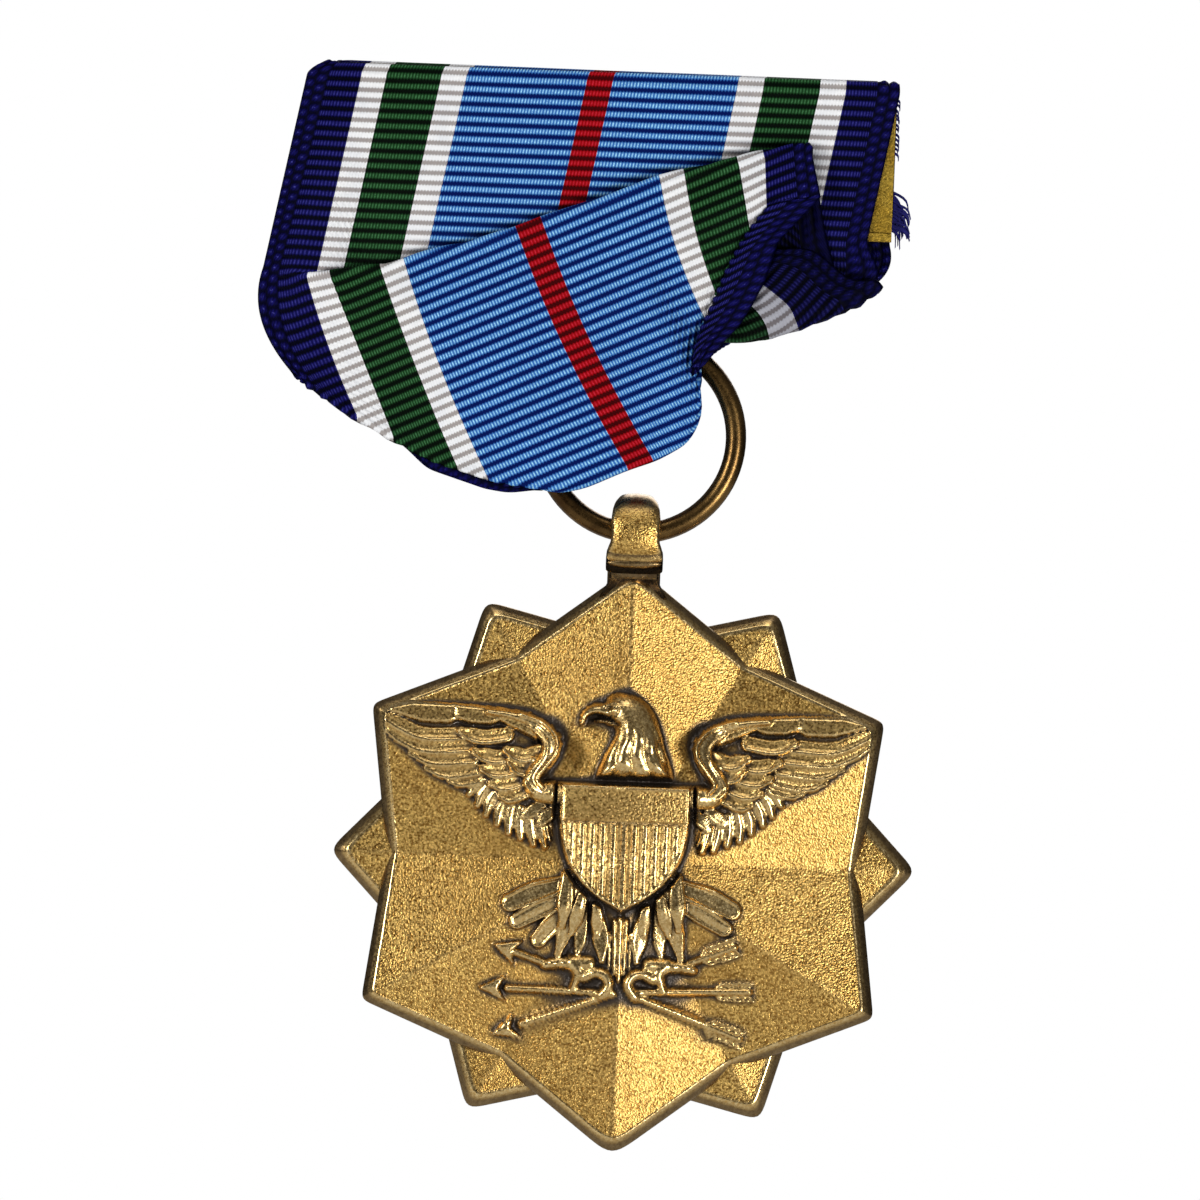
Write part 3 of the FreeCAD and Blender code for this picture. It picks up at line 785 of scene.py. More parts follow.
def make_pendant():
    """Both stars, the lug and the tongue in one mesh, because they are one strike."""
    rows = 150
    # The top and bottom tips hold little relief, so their sides need fewer columns.
    steps = [26 if k in (5, 6) else 34 if k in (0, 11) else 62 for k in range(12)]
    shell = star_shell(FRONT, steps, rows, 0.012, 10, True)
    front, front_faces, front_polish, lifted, front_side, front_darkening = shell
    shell = star_shell(REAR, [30] * 12, 40, 0.3, 6, False)
    rear, rear_faces, rear_polish, _, rear_side, rear_darkening = shell
    rear_faces = [tuple(i + len(front) for i in f) for f in rear_faces]
    lug, lug_faces, shine = make_lug(len(front) + len(rear))
    tongue, tongue_faces = make_tongue(len(front) + len(rear) + len(lug))
    points = np.vstack([front, rear, lug, tongue])
    piece = new_piece("medal_star", "medal", points, front_faces + rear_faces + lug_faces + tongue_faces)
    # A place is a cavity where the relief round it is higher on average.
    height = lifted[: rows * sum(steps)].reshape(rows, -1)
    blurred = height
    for _ in range(40):
        around = (np.roll(blurred, 1, axis=1) + np.roll(blurred, -1, axis=1)) / 2
        along = blurred.copy()
        along[1:-1] = (blurred[:-2] + blurred[2:]) / 2
        blurred = (2 * blurred + around + along) / 4
    cavity = np.zeros(len(front))
    cavity[: height.size] = np.clip((blurred - height) * 5.0 - 0.05, 0, 1).ravel()
    none, plain = np.zeros(len(lug)), np.zeros(len(tongue))
    add_attribute(piece, "polish", np.r_[front_polish, rear_polish, shine, plain])
    add_attribute(piece, "cavity", np.r_[np.maximum(cavity, front_darkening), rear_darkening, none, plain])
    add_attribute(piece, "rim", np.r_[front_side, rear_side, 1 - shine, plain + 1])
    return piece


# ---------------------------------------------------------------- the ribbon

RIBBON = 34.925
STRIPES = (3.175, 4.7625, 7.9375, 9.525, 16.669, 18.256, 25.4, 26.9875, 30.1625, 31.75)
SELVEDGE = 1.2
RIB = 0.625
THREAD = 0.188
# Once down behind the bar, down the front, back up behind the flap, down the flap and up to the back plate.
MARGIN = STRIPES[-1]

BAR_RIGHT = node_box("brooch_bar")[1][0]
# Depths of the cloth's layers, from the back plate forward.
RETURN_Y, TAIL_Y, PANEL_Y, TUCK_Y, PLEAT_Y, FLAP_Y, BAND_Y = -2.925, -3.375, -4.625, -4.98, -5.15, -5.675, -6.1
# The left margin's layers lie against each other, and so do the throat's.
MARGIN_Y, THROAT_Y, THROAT_BACK_Y = -5.0, -4.9, -3.25
WRAP_RADIUS = (TAIL_Y - PANEL_Y) / 2
WRAP_Y = (TAIL_Y + PANEL_Y) / 2
WRAP_Z = 4.42
SLANT = 0.185
# The lower left corner, where the panel's fold and the flap's meet.
CORNER_X, CORNER_Z = -19.1, -8.05

# The mesh's columns, as distances from the left selvedge, closer together at both selvedges.
EDGE = np.linspace(0, SELVEDGE, 11)
U = np.r_[EDGE, np.linspace(SELVEDGE, RIBBON - SELVEDGE, 90)[1:-1], RIBBON - EDGE[::-1]]
IN_MARGIN = U >= MARGIN - 0.01
MARGIN_SHARE = np.clip((U - MARGIN) / (RIBBON - MARGIN), 0, 1)


def columns_at(x, z):
    """One place for every column; x and z may be single numbers."""
    return np.column_stack([np.broadcast_to(x, U.shape), np.broadcast_to(z, U.shape)])


def by_column(across, x, z):
    """Places for every column, between stops at these distances across the cloth."""
    return columns_at(np.interp(U, across, x), np.interp(U, across, z))


def panel_x(z):
    """Where the columns of the front panel are at a height: the cloth leans a little."""
    top = np.interp(U, (0, 16.67, RIBBON), (-18.55, -1.6, 17.7))
    return top - SLANT * (5.05 - z)


def lower_fold():
    """Where the front panel turns up again, which lies behind the flap except at the right."""
    line_x = (CORNER_X, 8.0, 10.9, 12.9, 15.5, 16.75)
    line_z = (CORNER_Z, -10.65, -9.9, -9.1, -7.9, -6.85)
    z = np.full(U.shape, -9.0)
    # The panel leans, so its places are found by going round a few times.
    for _ in range(12):
        x = panel_x(z) + 1.15 * smooth(U, 32.2, RIBBON)
        z = np.interp(x, line_x, line_z)
    margin = by_column((0, 2.4, RIBBON), (-20.9, CORNER_X, 0), (-7.6, CORNER_Z, 0))
    return np.where((U <= 2.4)[:, None], margin, columns_at(x, z))


def flap_top():
    """The flap's upper fold, where the cloth comes forward and down."""
    return by_column(
        (0, 2.4, 4.76, 7.94, 9.5, 16.67, 18.26, 25.4, 27.0, 30.16, MARGIN, 34.3, RIBBON),
        (-20.9, CORNER_X, -16.8, -13.82, -12.32, -5.58, -3.95, 3.07, 4.64, 7.76, 9.46, 11.85, 12.35),
        (-7.6, CORNER_Z, -7.92, -7.54, -7.02, -5.0, -4.27, -1.6, -1.27, -0.46, 0.01, 0.62, 0.42),
    )


# The flap's lower edge: the left diagonal, the throat over the ring, and the navy band's two sides.
LEFT_DIAGONAL = ((-19.4, -13.6), (-18.3, -14.5), (-14.4, -16.9), (-10.2, -19.0), (-6.6, -20.1), (-3.0, -20.6))
THROAT = ((-3.0, -20.6), (-0.9, -20.2), (1.6, -19.0), (3.5, -18.3), (5.3, -17.2), (6.0, -15.7))
THROAT += ((6.1, -14.1), (5.9, -12.6))
BAND_LEFT = ((9.56, -2.7), (8.61, -4.3), (7.33, -6.93), (6.17, -10.2), (5.85, -11.6), (5.9, -12.6))
BAND_RIGHT = ((12.95, -2.1), (10.45, -4.9), (9.8, -7.2), (9.1, -8.7), (8.3, -10.1), (7.4, -11.1))
BAND_RIGHT += ((6.3, -12.5),)


def first_hit(start, lean, line):
    """How far down each column meets a bent line, and how far along the line that is."""
    drop = np.full(U.shape, np.inf)
    place = np.zeros(U.shape)
    done = lengths_along(line)
    for k, ((ax, az), (bx, bz)) in enumerate(zip(line[:-1], line[1:])):
        ex, ez = bx - ax, bz - az
        # The column is at start + t * (lean, -1) and the line at a + s * e: they meet where both agree.
        cross = lean * ez + ex
        s = (lean * (start[:, 1] - az) + (start[:, 0] - ax)) / np.where(np.abs(cross) < 1e-9, 1e-9, cross)
        t = start[:, 1] - az - s * ez
        good = (s >= -1e-6) & (s <= 1 + 1e-6) & (t > 0.02) & (t < drop)
        drop = np.where(good, t, drop)
        place = np.where(good, mix(done[k], done[k + 1], s) / done[-1], place)
    return drop, place


def along_line(line, share):
    """The place a share of the way along a bent line."""
    length = lengths_along(line)
    where = np.asarray(share) * length[-1]
    return np.stack([np.interp(where, length, column) for column in np.transpose(line)], axis=-1)


def outward(places, towards):
    """A unit direction across a line of places, on the side of another direction."""
    tangent = np.gradient(places, axis=0)
    normal = np.column_stack([-tangent[:, 1], tangent[:, 0]])
    normal /= np.linalg.norm(normal, axis=1)[:, None] + 1e-9
    return normal * np.where((normal * towards).sum(axis=1) < 0, -1, 1)[:, None]


def layer(places, y):
    """Puts rows of (x, z) places at depths y: rows, columns, 3."""
    y = np.broadcast_to(y, places.shape[:-1])
    return np.stack([places[..., 0], y, places[..., 1]], axis=-1)


def run(start, end, y_start, y_end, rows, bow=0.0):
    """Straight rows from start to end, bowed sideways in the middle."""
    t = np.linspace(0, 1, rows + 1)[1:, None, None]
    return layer(start + (end - start) * t + bow * (4 * t * (1 - t)), mix(y_start, y_end, t[..., 0]))


def turn(places, direction, y_from, y_to, rows, share):
    """A fold about a line of places, going out in a direction and back; share is how round it is."""
    a = np.linspace(0, np.pi, rows + 1)[1:, None]
    radius = np.abs(y_to - y_from) / 2 * share
    out = places + direction * (radius * np.sin(a))[..., None]
    return layer(out, (y_from + y_to) / 2 + (y_from - y_to) / 2 * np.cos(a))


def through(stops, y, rows):
    """Curved rows through several places for each column, all at one depth."""
    p = np.stack([layer(s, y) for s in stops])
    return np.stack([curve_through(p[:, k], rows + 1)[1:] for k in range(len(U))], axis=1)


def gathered_edge(end, places, left, right):
    """Below the flap's edge the cloth runs along it, gathered under, to the ring's hole."""
    radius = 0.26
    t = np.linspace(0, 1, 91)[1:, None]
    q = mix(places, 1, t)
    # Left: under to the right, with the selvedge coming out again below the edge.
    turned = np.interp(q, places[left], U[left])
    under = np.clip((turned - U) / np.maximum(turned, 0.5), 0, 1)
    peek = smooth(under, 0.8, 0.93) * smooth(q, 0.45, 0.62) * smooth(q, 1.0, 0.86)
    offset = 1.7 * np.sin(np.pi * np.clip((under - 0.06) / 0.84, 0, 1)) * (1 - peek) - 0.6 * peek
    inward = np.array([0.42, 0.9]) * offset[..., None]
    left_part = layer(along_line(LEFT_DIAGONAL, q) + inward, FLAP_Y + 0.5 * smooth(under, 0, 0.05))
    # Right: a pleat under the navy band, and the band itself on top.
    order = np.argsort(places[right])
    turned = np.interp(q, places[right][order], U[right][order])
    under = np.clip((U - turned) / np.maximum(MARGIN - turned, 0.5), 0, 1)
    left_edge, right_edge = along_line(BAND_LEFT, q), along_line(BAND_RIGHT, q)
    wide = (right_edge - left_edge) * (0.75 * np.sin(np.pi * under))[..., None]
    pleat = layer(left_edge + wide, BAND_Y + 0.75 * np.sin(np.pi * np.clip(under * 0.8, 0, 1)))
    # The selvedge keeps its width as the band narrows, and hides the cloth beside it.
    squeeze = 1.3 / np.maximum(np.linalg.norm(right_edge - left_edge, axis=-1), 0.4)
    from_left = 1 - (1 - np.exp(-squeeze * (RIBBON - U))) / (1 - np.exp(-squeeze * (RIBBON - MARGIN)))
    band_y = BAND_Y - 0.1 - 0.35 * np.sin(np.pi * MARGIN_SHARE)
    band = layer(mix(left_edge - (0.15, 0), right_edge, from_left[..., None]), band_y)
    right_part = np.where(IN_MARGIN[:, None], band, pleat)
    # Between: a round turn at the throat's own edge.
    out = outward(end, (0, -1)) * (radius * np.sin(np.pi * t))[..., None]
    middle = layer(end + out, FLAP_Y + radius * (1 - np.cos(np.pi * t)))
    return np.where(left[:, None], left_part, np.where(right[:, None], right_part, middle))


def ribbon_sheet():
    """The cloth's middle surface, rows, columns, and x y z in millimetres, and what each row belongs to."""
    folded = smooth(U, 2.4, 6.0)
    right = smooth(U, 24.0, 31.0)
    parts, kinds = [], []

    def add(kind, rows):
        parts.append(rows)
        kinds.extend([kind] * len(rows))

    # Up behind the bar, over it and down the front.
    tail_x = -RIBBON / 2 + U
    tail_low = columns_at(tail_x, -3.0)
    add("head", layer(tail_low[None], TAIL_Y))
    add("head", run(tail_low, columns_at(tail_x, WRAP_Z), TAIL_Y, TAIL_Y, 34))
    angle = np.linspace(0, np.pi, 15)[1:, None]
    wrap_x = mix(tail_x, panel_x(WRAP_Z), smooth(angle / np.pi, 0, 1))
    wrap_x += 0.55 * np.sin(angle) * smooth(U, 2.5, 0)
    wrap_z = np.broadcast_to(WRAP_Z + WRAP_RADIUS * np.sin(angle), wrap_x.shape)
    add("head", layer(np.stack([wrap_x, wrap_z], axis=-1), WRAP_Y + WRAP_RADIUS * np.cos(angle)))
    fold = lower_fold()
    panel_end = mix(MARGIN_Y, PANEL_Y, folded)
    panel = run(columns_at(panel_x(WRAP_Z), WRAP_Z), fold, PANEL_Y, panel_end, 118)
    # The right margin keeps the panel's slant behind the bar's height and spreads out below it.
    spread = smooth(U, 31.0, RIBBON) * (panel[..., 0] - panel_x(panel[..., 2]))
    panel[..., 0] -= spread * smooth(panel[..., 2], -6.6, -4.4)
    add("panel", panel)

    # Up again behind the flap, with an open arch at the right.
    top = flap_top()
    arch_y = mix(MARGIN_Y, mix(PLEAT_Y, -5.75, right), folded)
    tuck_y = mix(MARGIN_Y, mix(PLEAT_Y, TUCK_Y, right), folded)
    add("fold", turn(fold, outward(fold, (0, -1)), panel_end, arch_y, 8, folded))
    stops = (0, 26, 27, 30.16, MARGIN, 33.4, RIBBON)
    pick = right[:, None]
    line = [fold]
    for share, x, z in (
        (0.15, (-20.9, 3.2, 5.2, 9.3, 11.2, 13.0, 14.9), (-7.6, -9.6, -9.9, -9.4, -8.85, -7.9, -6.95)),
        (0.3, (-20.9, 2.6, 4.8, 8.4, 10.1, 11.6, 12.6), (-7.6, -8.6, -8.9, -8.6, -8.0, -6.7, -5.35)),
        (0.45, (-20.9, 3.0, 4.3, 7.4, 8.7, 9.6, 10.35), (-7.6, -7.6, -7.8, -7.5, -7.0, -6.2, -5.35)),
    ):
        line.append(mix(mix(fold, top, share), by_column(stops, x, z), pick))
    arch = line[-1]
    add("arch", through(line, arch_y, 44))
    add("arch", turn(arch, np.array([-0.8, 0.6]), arch_y, tuck_y, 6, right * 0.8))
    stops = (0, 26, 30.16, MARGIN, RIBBON)
    low = by_column(stops, (0, 3.0, 7.6, 9.2, 13.9), (0, -7.0, -7.3, -7.2, -7.0))
    mid = by_column(stops, (0, 3.0, 7.8, 9.4, 13.35), (0, -4.4, -4.2, -3.8, -4.2))
    low, mid = mix(mix(arch, top, 0.3), low, pick), mix(mix(arch, top, 0.6), mid, pick)
    add("tuck", through([arch, low, mid, top], tuck_y, 36))

    # Forward over the upper fold and down the flap, to whichever edge each column meets.
    flap_y = mix(MARGIN_Y, mix(-5.5, -6.05, smooth(U, 14, 33)), folded)
    up = np.array([0.0, 1.0])
    lift = mix(outward(top, up), up, smooth(U, 32.5, 34.0)[:, None])
    add("lip", turn(top, lift, tuck_y, flap_y, 8, folded))
    stops = (0, 5, 9.5, 17.5, 22, 25.4, 27, 30.16, MARGIN)
    lean = np.interp(U, stops, (0.343, 0.44, 0.43, 0.523, 0.46, 0.382, 0.30, 0.242, 0.04))
    drops, places = zip(*(first_hit(top, lean, line) for line in (LEFT_DIAGONAL, THROAT, BAND_LEFT)))
    which = np.where(IN_MARGIN, 2, np.argmin(drops, axis=0))
    drop = np.where(IN_MARGIN, 0, np.min(drops, axis=0))
    end = top + columns_at(lean, -1) * drop[:, None]
    band_top = mix(np.array(BAND_LEFT[0]), BAND_RIGHT[0], MARGIN_SHARE[:, None])
    end = np.where(IN_MARGIN[:, None], band_top, end)
    bow = columns_at(-0.45 * smooth(U, 5, 12) * smooth(U, 30, 24) - 1.1 * smooth(U, 4.5, 0), 0)
    add("flap", run(top, end, flap_y, mix(FLAP_Y, BAND_Y, smooth(U, 24, MARGIN)), 140, bow))
    places = np.where(which == 0, places[0], np.where((which == 2) & ~IN_MARGIN, places[2], 0))
    add("gather", gathered_edge(end, places, which == 0, which == 2))

    # Through the ring, and up to the back plate.
    left, last = U[which == 0].max(), U[which == 2].min()
    throat = by_column(
        (0, left, *(mix(left, last, share) for share in (0.3, 0.55, 0.75, 0.9)), last, RIBBON),
        (-2.0, -1.5, 1.3, 3.3, 4.8, 5.4, 5.5, 5.2),
        (-18.5, -19.4, -18.7, -17.9, -16.8, -15.6, -14.6, -13.5),
    )
    edge = parts[-1][-1]
    add("throat", run(edge[:, [0, 2]], throat, edge[:, 1], THROAT_Y, 8))
    add("throat", run(throat, throat, THROAT_Y, THROAT_BACK_Y, 8, np.array([0, -0.25])))
    rise_end = columns_at(-RIBBON / 2 + 0.15 + U * 0.992, -4.7)
    first = by_column((0, 17, RIBBON), (-7.0, 2.0, 6.8), (-17.8, -15.0, -8.6))
    second = by_column((0, 17, RIBBON), (-16.5, -1.0, 18.9), (-14.0, -9.0, -9.4))
    t = np.linspace(0, 1, 141)[1:, None, None]
    back = (1 - t) ** 3 * throat + 3 * (1 - t) ** 2 * t * first
    back += 3 * (1 - t) * t * t * second + t**3 * rise_end
    add("return", layer(back, mix(THROAT_BACK_Y, RETURN_Y, smooth(t[..., 0], 0, 0.35))))
    add("return", run(rise_end, rise_end + (0, 7.2), RETURN_Y, RETURN_Y, 48))
    return np.concatenate(parts), np.array(kinds)


def rib_phase(surface, kinds):
    """Distance along the cloth in millimetres, which sets where its ribs lie."""
    step = np.linalg.norm(np.diff(surface, axis=0), axis=2)
    distance = np.vstack([np.zeros((1, len(U))), np.cumsum(step, axis=0)])
    rows = {kind: np.flatnonzero(kinds == kind) for kind in np.unique(kinds)}
    first, flap = rows["panel"][0], rows["flap"]
    phase = distance - distance[first - 1] - WRAP_Z
    # On the flap the ribs lie square to its lean, whatever happens behind it.
    rake = math.radians(25)
    x, z = surface[..., 0] - CORNER_X, surface[..., 2] - CORNER_Z
    sloped = math.sin(rake) * x - math.cos(rake) * z - CORNER_Z
    square = sloped[flap[0]] + distance - distance[flap[0]]
    # Round the left margin the ribs fan out from the panel's to the flap's.
    fan = mix(phase, sloped, smooth(phase, 5.5, 17.0))
    phase[flap] = mix(sloped, square, smooth(U, 30.5, 32.0))[flap]
    front = slice(first, flap[-1] + 1)
    phase[front] = mix(phase, fan, smooth(U, 5.5, 1.5))[front]
    # The other parts carry on from what they join.
    for kind, joined in (("lip", flap[0]), ("gather", flap[-1]), ("throat", rows["gather"][-1])):
        phase[rows[kind]] = phase[joined] + distance[rows[kind]] - distance[joined]
    phase[rows["return"]] = distance[rows["return"]] - distance[-1]
    return phase


def spread_rows(surface, phase, start, end):
    """Spaces the rows out evenly round the left margin, where the flap's folds die away."""
    even = np.linspace(0, 1, end - start)
    for k in np.flatnonzero(U < 10):
        share = np.r_[0, np.cumsum(np.linalg.norm(np.diff(surface[start:end, k], axis=0), axis=1) + 1e-6)]
        share /= share[-1]
        wanted = mix(even, share, smooth(U[k], 2.4, 10))
        for values in (*np.moveaxis(surface, 2, 0), phase):
            values[start:end, k] = np.interp(wanted, share, values[start:end, k].copy())


def evened(values):
    """Evens rows out with their neighbours, apart from the first and the last."""
    values[1:-1] = (values[:-2] + 2 * values[1:-1] + values[2:]) / 4
    return values


def unit(vectors):
    return vectors / (np.linalg.norm(vectors, axis=2)[..., None] + 1e-9)


def make_ribbon():
    surface, kinds = ribbon_sheet()
    phase = rib_phase(surface, kinds)
    spread_rows(surface, phase, np.flatnonzero(kinds == "panel")[0], np.flatnonzero(kinds == "flap")[-1] + 1)
    # The phase is evened out with the places, so that the ribs stay straight.
    both = np.concatenate([surface, phase[..., None]], axis=-1)
    for _ in range(3):
        evened(both)
        evened(both.swapaxes(0, 1))
    surface, phase = both[..., :3], both[..., 3]
    flat = np.isin(kinds, ("flap", "panel"))[:, None]
    ripple = 0.10 * value_noise(surface[..., 0] * 0.35, surface[..., 2] * 0.35, 1)
    surface[..., 1] += flat * ripple * smooth(U, 0, 3)
    normal = unit(np.cross(np.gradient(surface, axis=0), np.gradient(surface, axis=1)))
    for _ in range(2):
        normal = unit(evened(normal))
    from_edge = np.minimum(U, RIBBON - U)
    hidden = np.isin(kinds, ("gather", "throat"))[:, None] & (U > 0) & (U < MARGIN - 0.3)
    normal[hidden] = (0.0, -1.0, 0.0)
    # Ribs cross the cloth, and each selvedge is two beaded cords half a bead apart.
    rib = 0.5 + 0.5 * np.cos(2 * np.pi * phase / RIB)
    cord = np.abs(np.sin(np.pi * from_edge / (SELVEDGE / 2)))
    bead = 0.5 + 0.5 * np.cos(2 * np.pi * (phase / RIB + 0.5 * (from_edge > SELVEDGE / 2)))
    thick = np.where(from_edge < SELVEDGE, 0.08 + 0.21 * cord * (0.3 + 0.7 * bead), 0.09 + 0.17 * rib**0.7)
    offset = normal * np.where(hidden, 0.12, thick)[..., None]
    points = np.vstack([(surface - offset).reshape(-1, 3), (surface + offset).reshape(-1, 3)])
    rows, columns = phase.shape
    back = grid_quads(rows, columns)
    index = np.arange(phase.size).reshape(rows, columns)
    rim = np.concatenate([index[0], index[1:, -1], index[-1, -2::-1], index[-2:0:-1, 0]])
    after = np.roll(rim, -1)
    sides = np.column_stack([rim, rim + phase.size, after + phase.size, after])
    piece = new_piece("ribbon", None, points, np.vstack([back, back[:, ::-1] + phase.size, sides]))
    # Painted shade on the cloth that is turned under the flap at the right.
    turned_under_shade = np.isin(kinds, ("fold", "arch", "tuck"))[:, None] * smooth(U, 26, 31)
    for name, values in (
        ("across", np.broadcast_to(U, phase.shape)),
        ("along", phase),
        ("beads", cord * bead * (from_edge < SELVEDGE)),
        ("shade", turned_under_shade),
    ):
        add_attribute(piece, name, np.tile(values.ravel(), 2))
    return piece


# Each stripe's colour on the ribs' crests, its painted shade in the grooves, and its painted highlight where a
# crest's threads catch the light.
COLOURS = {
    "navy": ((0.0045, 0.004, 0.075), (0.0002, 0.0002, 0.007), (0.035, 0.035, 0.24)),
    "white": ((0.95, 0.95, 0.95), (0.42, 0.38, 0.36), (1.0, 1.0, 1.0)),
    "green": ((0.009, 0.046, 0.012), (0.0004, 0.0035, 0.001), (0.055, 0.19, 0.07)),
    "blue": ((0.035, 0.165, 0.52), (0.0003, 0.008, 0.10), (0.42, 0.80, 1.0)),
    "red": ((0.34, 0.001, 0.004), (0.06, 0.0002, 0.001), (0.62, 0.02, 0.04)),
}
ORDER = ("navy", "white", "green", "white", "blue", "red", "blue", "white", "green", "white", "navy")


def ribbon_material():
    """Striped grosgrain: fine warp threads over ribs, painted shade in the grooves and painted highlights on
    the crests.
    """
    m = Material("ribbon_cloth")
    across, along, beads, shade = (m.attribute(name) for name in ("across", "along", "beads", "shade"))

    def stripes(part):
        ramp = m.node("ValToRGB", Fac=m.math("DIVIDE", across, RIBBON))
        ramp.color_ramp.interpolation = "CONSTANT"
        stops = ramp.color_ramp.elements
        stops[1].position = STRIPES[0] / RIBBON
        for place in STRIPES[1:]:
            stops.new(place / RIBBON)
        for stop, name in zip(stops, ORDER):
            stop.color = (*COLOURS[name][part], 1)
        return ramp.outputs["Color"]

    from_middle = m.math("ABSOLUTE", m.math("SUBTRACT", across, RIBBON / 2))
    selvedge_start = RIBBON / 2 - SELVEDGE
    in_selvedge = m.remap(from_middle, selvedge_start - 0.03, selvedge_start)
    rib, thread = m.wave("COSINE", along, RIB), m.wave("SINE", across, THREAD)
    fuzz = m.noise(9, 2.0, 0.7)
    # Painted shade: the grooves between the ribs take the stripes' darker groove colours.
    low = m.remap(m.plus(rib, m.times(thread, 0.30)), -0.55, 0.15, 1.0, 0.0)
    low = m.math("MAXIMUM", low, m.remap(rib, -0.95, -0.7, 0.9, 0.0))
    colour = m.blend(low, stripes(0), stripes(1))
    # Painted highlights: the crests' threads take the glint colours, broken up by fuzz.
    high = m.times(m.remap(rib, 0.0, 0.7), m.remap(thread, -0.3, 0.8))
    high = m.times(high, m.remap(fuzz, 0.32, 0.6, 0.3, 1.0))
    colour = m.blend(high, colour, stripes(2))
    # The selvedge is a chain of dark beads with slanting strands, with painted shade between the beads and
    # painted highlights on their tops.
    strand = m.plus(m.math("DIVIDE", across, 0.21), m.math("DIVIDE", along, 0.33))
    strand = m.remap(m.wave("SINE", strand, 1), -0.8, 0.6, 0.45, 1.0)
    chain = m.times(m.remap(beads, 0.05, 0.6), strand)
    chain = m.blend(chain, (0.0003, 0.0003, 0.012), (0.007, 0.006, 0.11))
    # Painted highlights on the tops of the beads.
    bright = m.times(m.remap(beads, 0.8, 1.0), m.remap(fuzz, 0.45, 0.6))
    chain = m.blend(bright, chain, (0.07, 0.07, 0.36))
    colour = m.blend(in_selvedge, colour, chain)
    # Uneven dye, painted shade on cloth that is turned under, and painted shade between the layers.
    for share, tint in (
        (m.remap(m.noise(0.6, 3.0), 0.35, 0.75, 0.0, 0.25), (0.55, 0.6, 0.7)),
        (m.times(shade, 0.75), (0.22, 0.22, 0.28)),
        (m.remap(m.hidden_places(1.8), 0.25, 0.85, 0.95, 0.0), (0.04, 0.05, 0.09)),
    ):
        colour = m.blend(share, colour, tint, "MULTIPLY")
    m.give("Base Color", colour)
    m.set(Roughness=0.6, Specular_IOR_Level=0.04)
    m.bump(m.plus(m.times(thread, 0.5), m.times(fuzz, 0.4)), 0.04)
    return m.material


def make_frayed_end():
    """Loose navy threads where the cut end of the cloth shows past the bar."""
    points, faces = [], []
    sides = np.linspace(0, 2 * np.pi, 6, endpoint=False)
    section = np.column_stack([0.5 * np.sin(sides), np.cos(sides), np.sin(sides)])
    for k in range(60):
        spread, length = hash_noise(k, 3, 1), hash_noise(k, 5, 4)
        if k < 12:
            # Short ends beside the bar's upper part; the rest hang from its lower corner.
            z = 4.3 - 0.3 * k
            reach, fall = 0.16 + 0.12 * spread, 0.4 + 0.3 * length
        else:
            z = -1.3 - 0.05 * (k - 12)
            reach, fall = 0.25 + 0.92 * spread, 3.0 - 0.9 * spread - 0.4 * length + z * 0.35
        start = np.array([BAR_RIGHT - 0.35, -3.35 + 0.25 * hash_noise(k, 2, 7), z])
        middle = start + (0.35 + reach * 0.75, -0.15 * spread, -fall * 0.4)
        end = start + (0.35 + reach, 0.3 * (hash_noise(k, 9, 3) - 0.5), -fall)
        line = curve_through([start, middle, end], 9)
        faces += tube_faces(len(line), len(sides), len(points))
        for j, place in enumerate(line):
            points.extend(place + 0.10 * (1 - 0.4 * j / len(line)) * section)
    piece = new_piece("frayed_threads", "brooch", np.array(points), faces)
    m = Material("frayed_navy")
    m.give("Base Color", m.blend(m.noise(3.0), (0.003, 0.003, 0.05), (0.015, 0.015, 0.20)))
    m.set(Roughness=0.6, Specular_IOR_Level=0.2)
    piece.data.materials.append(m.material)


# ---------------------------------------------------------------- light, floor and camera

CENTRE = (np.array(CAD_BOX[0]) + np.array(CAD_BOX[1])) / 2


def make_world():
    """White to the camera, and a soft studio of light above and grey below in reflections."""
    world = bpy.data.worlds.new("studio")
    bpy.context.scene.world = world
    world.use_nodes = True
    tree = world.node_tree
    kinds = ("LightPath", "TexCoord", "SeparateXYZ", "ValToRGB", "Mix")
    path, coord, parts, ramp, choose = (tree.nodes.new("ShaderNode" + kind) for kind in kinds)
    choose.data_type = "RGBA"
    choose.inputs[7].default_value = (1.0, 1.0, 1.0, 1)
    below, above = ramp.color_ramp.elements
    below.color = (0.05, 0.05, 0.05, 1)
    above.position = 0.9
    above.color = (0.17, 0.17, 0.18, 1)
    for source, target in (
        (coord.outputs["Generated"], parts.inputs[0]),
        (parts.outputs["Z"], ramp.inputs["Fac"]),
        (path.outputs["Is Camera Ray"], choose.inputs[0]),
        (ramp.outputs["Color"], choose.inputs[6]),
        (choose.outputs[2], tree.nodes["Background"].inputs["Color"]),
    ):
        tree.links.new(source, target)
    tree.nodes["Background"].inputs["Strength"].default_value = 1.0


def make_floor():
    """A plain pale disc below the medal."""
    radius, drop, thickness, count = 260.0, 50.0, 2.0, 96
    turns = np.linspace(0, 2 * np.pi, count, endpoint=False)
    rim = np.column_stack([np.cos(turns), np.sin(turns), 0 * turns]) * radius
    rim += (0, 0, CAD_BOX[0][2] / MM - drop)
    faces = [tuple(range(count))]
    faces += [(i, i + count, (i + 1) % count + count, (i + 1) % count) for i in range(count)]
    floor = new_piece("floor", None, np.vstack([rim, rim - (0, 0, thickness)]), faces, False)
    m = Material("floor_paper")
    m.give("Base Color", m.blend(m.noise(0.05), (0.86, 0.86, 0.87), (0.90, 0.90, 0.90)))
    m.set(Roughness=0.8)
    floor.data.materials.append(m.material)


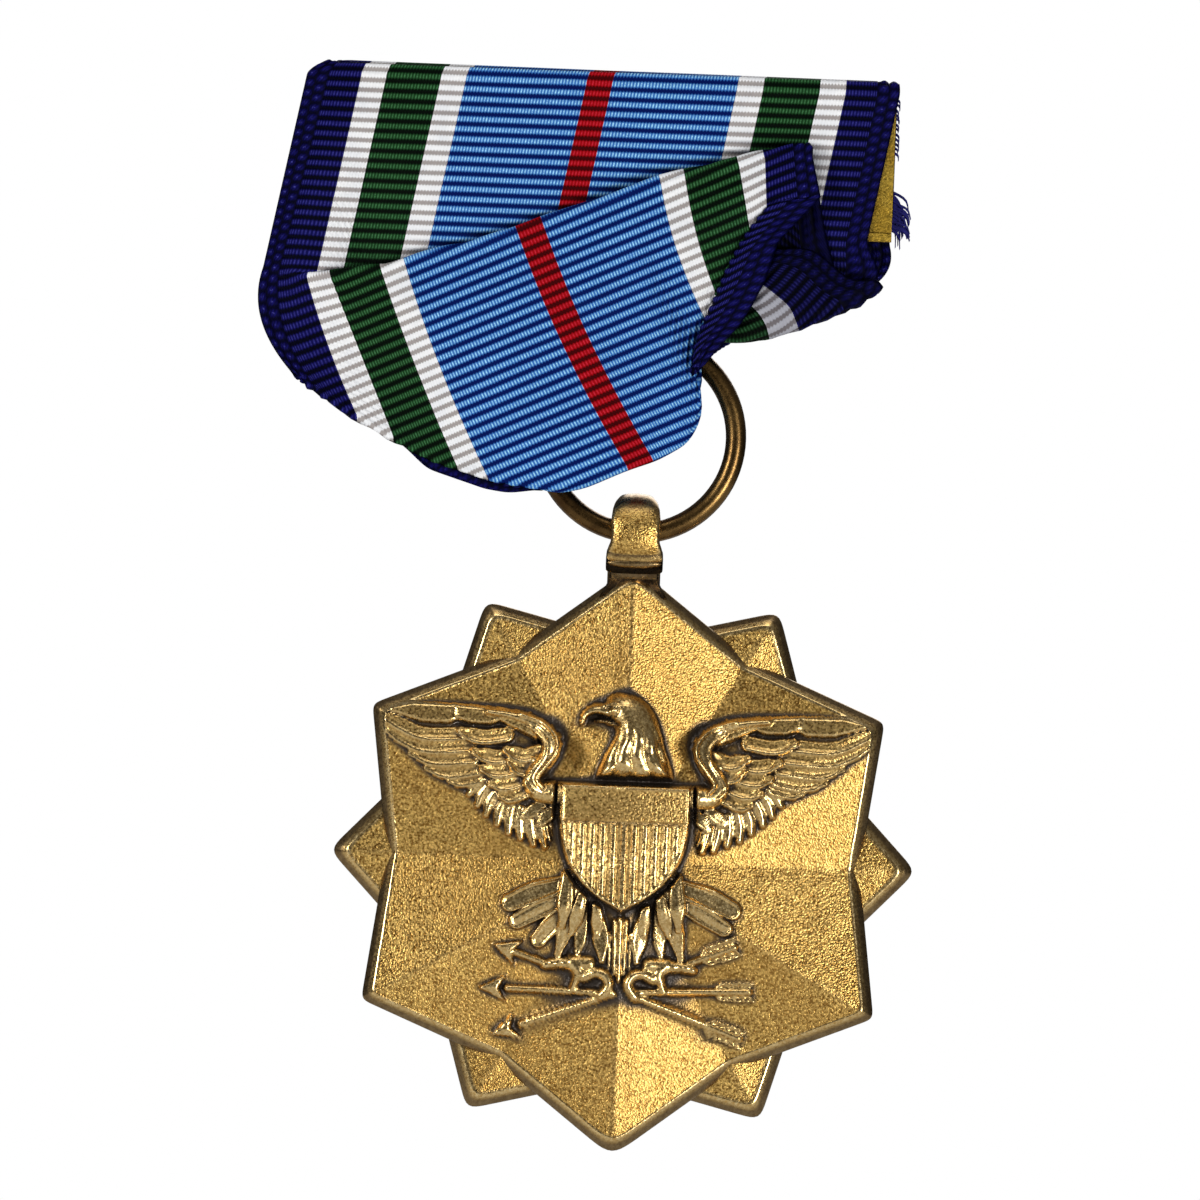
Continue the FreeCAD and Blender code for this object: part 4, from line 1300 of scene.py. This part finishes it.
def make_camera():
    """Straight in front with a long lens, rolled a little so that the medal leans as it lay."""
    distance, field, roll = 0.6, 0.0736, math.radians(2.2)
    data = bpy.data.cameras.new("camera")
    data.sensor_width = 36.0
    data.lens = data.sensor_width * distance / field
    data.clip_start = 0.01
    camera = bpy.data.objects.new("camera", data)
    bpy.context.scene.collection.objects.link(camera)
    facing = Matrix.Rotation(math.pi / 2, 4, "X") @ Matrix.Rotation(roll, 4, "Z")
    camera.matrix_world = Matrix.Translation(Vector(CENTRE) + Vector((0.0006, -distance, 0.0009))) @ facing
    bpy.context.scene.camera = camera


def make_lights():
    """A main softbox to the right, a weaker one to the left, and a little light from above and behind."""
    for name, place, size, power in (
        ("main", (0.285, -0.41, -0.09), (0.11, 0.15), 1.40),
        ("left", (-0.365, -0.34, 0.10), (0.11, 0.15), 1.10),
        ("above", (0.0, -0.22, 0.42), (0.30, 0.12), 0.35),
        ("back", (0.1, 0.40, 0.25), (0.3, 0.3), 0.8),
    ):
        data = bpy.data.lights.new(name, "AREA")
        data.shape = "RECTANGLE"
        data.size, data.size_y = size
        data.energy = power
        lamp = bpy.data.objects.new(name, data)
        lamp.location = CENTRE + place
        lamp.rotation_euler = (-Vector(place)).to_track_quat("-Z", "Y").to_euler()
        bpy.context.scene.collection.objects.link(lamp)


# ---------------------------------------------------------------- the whole medal

make_camera()
make_world()
make_lights()
make_floor()
bpy.context.scene.view_settings.view_transform = "Standard"

bronze = struck_bronze()
star = make_pendant()
star.data.materials.append(bronze)
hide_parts("pendant")
hood = make_hood()
hood.data.materials.append(bronze)
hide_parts("suspension_strap")

brass = worn_metal("bright_brass", (0.60, 0.35, 0.035), (0.93, 0.64, 0.11), 0.36, 0.03)
dress(brass, "brooch_bar", "plate_studs", "back_plate", "pin_joint", "pin_rivet", "catch_base", "catch_rotor")
dress(worn_metal("ring_bronze", (0.07, 0.036, 0.013), (0.24, 0.14, 0.045), 0.30), "suspension_ring")
dress(worn_metal("pin_wire", (0.55, 0.53, 0.48), (0.78, 0.76, 0.70), 0.2), "pin_stem")

ribbon = make_ribbon()
make_frayed_end()
ribbon.data.materials.append(ribbon_material())
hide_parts("ribbon_head", "ribbon_drape")
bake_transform(ribbon)
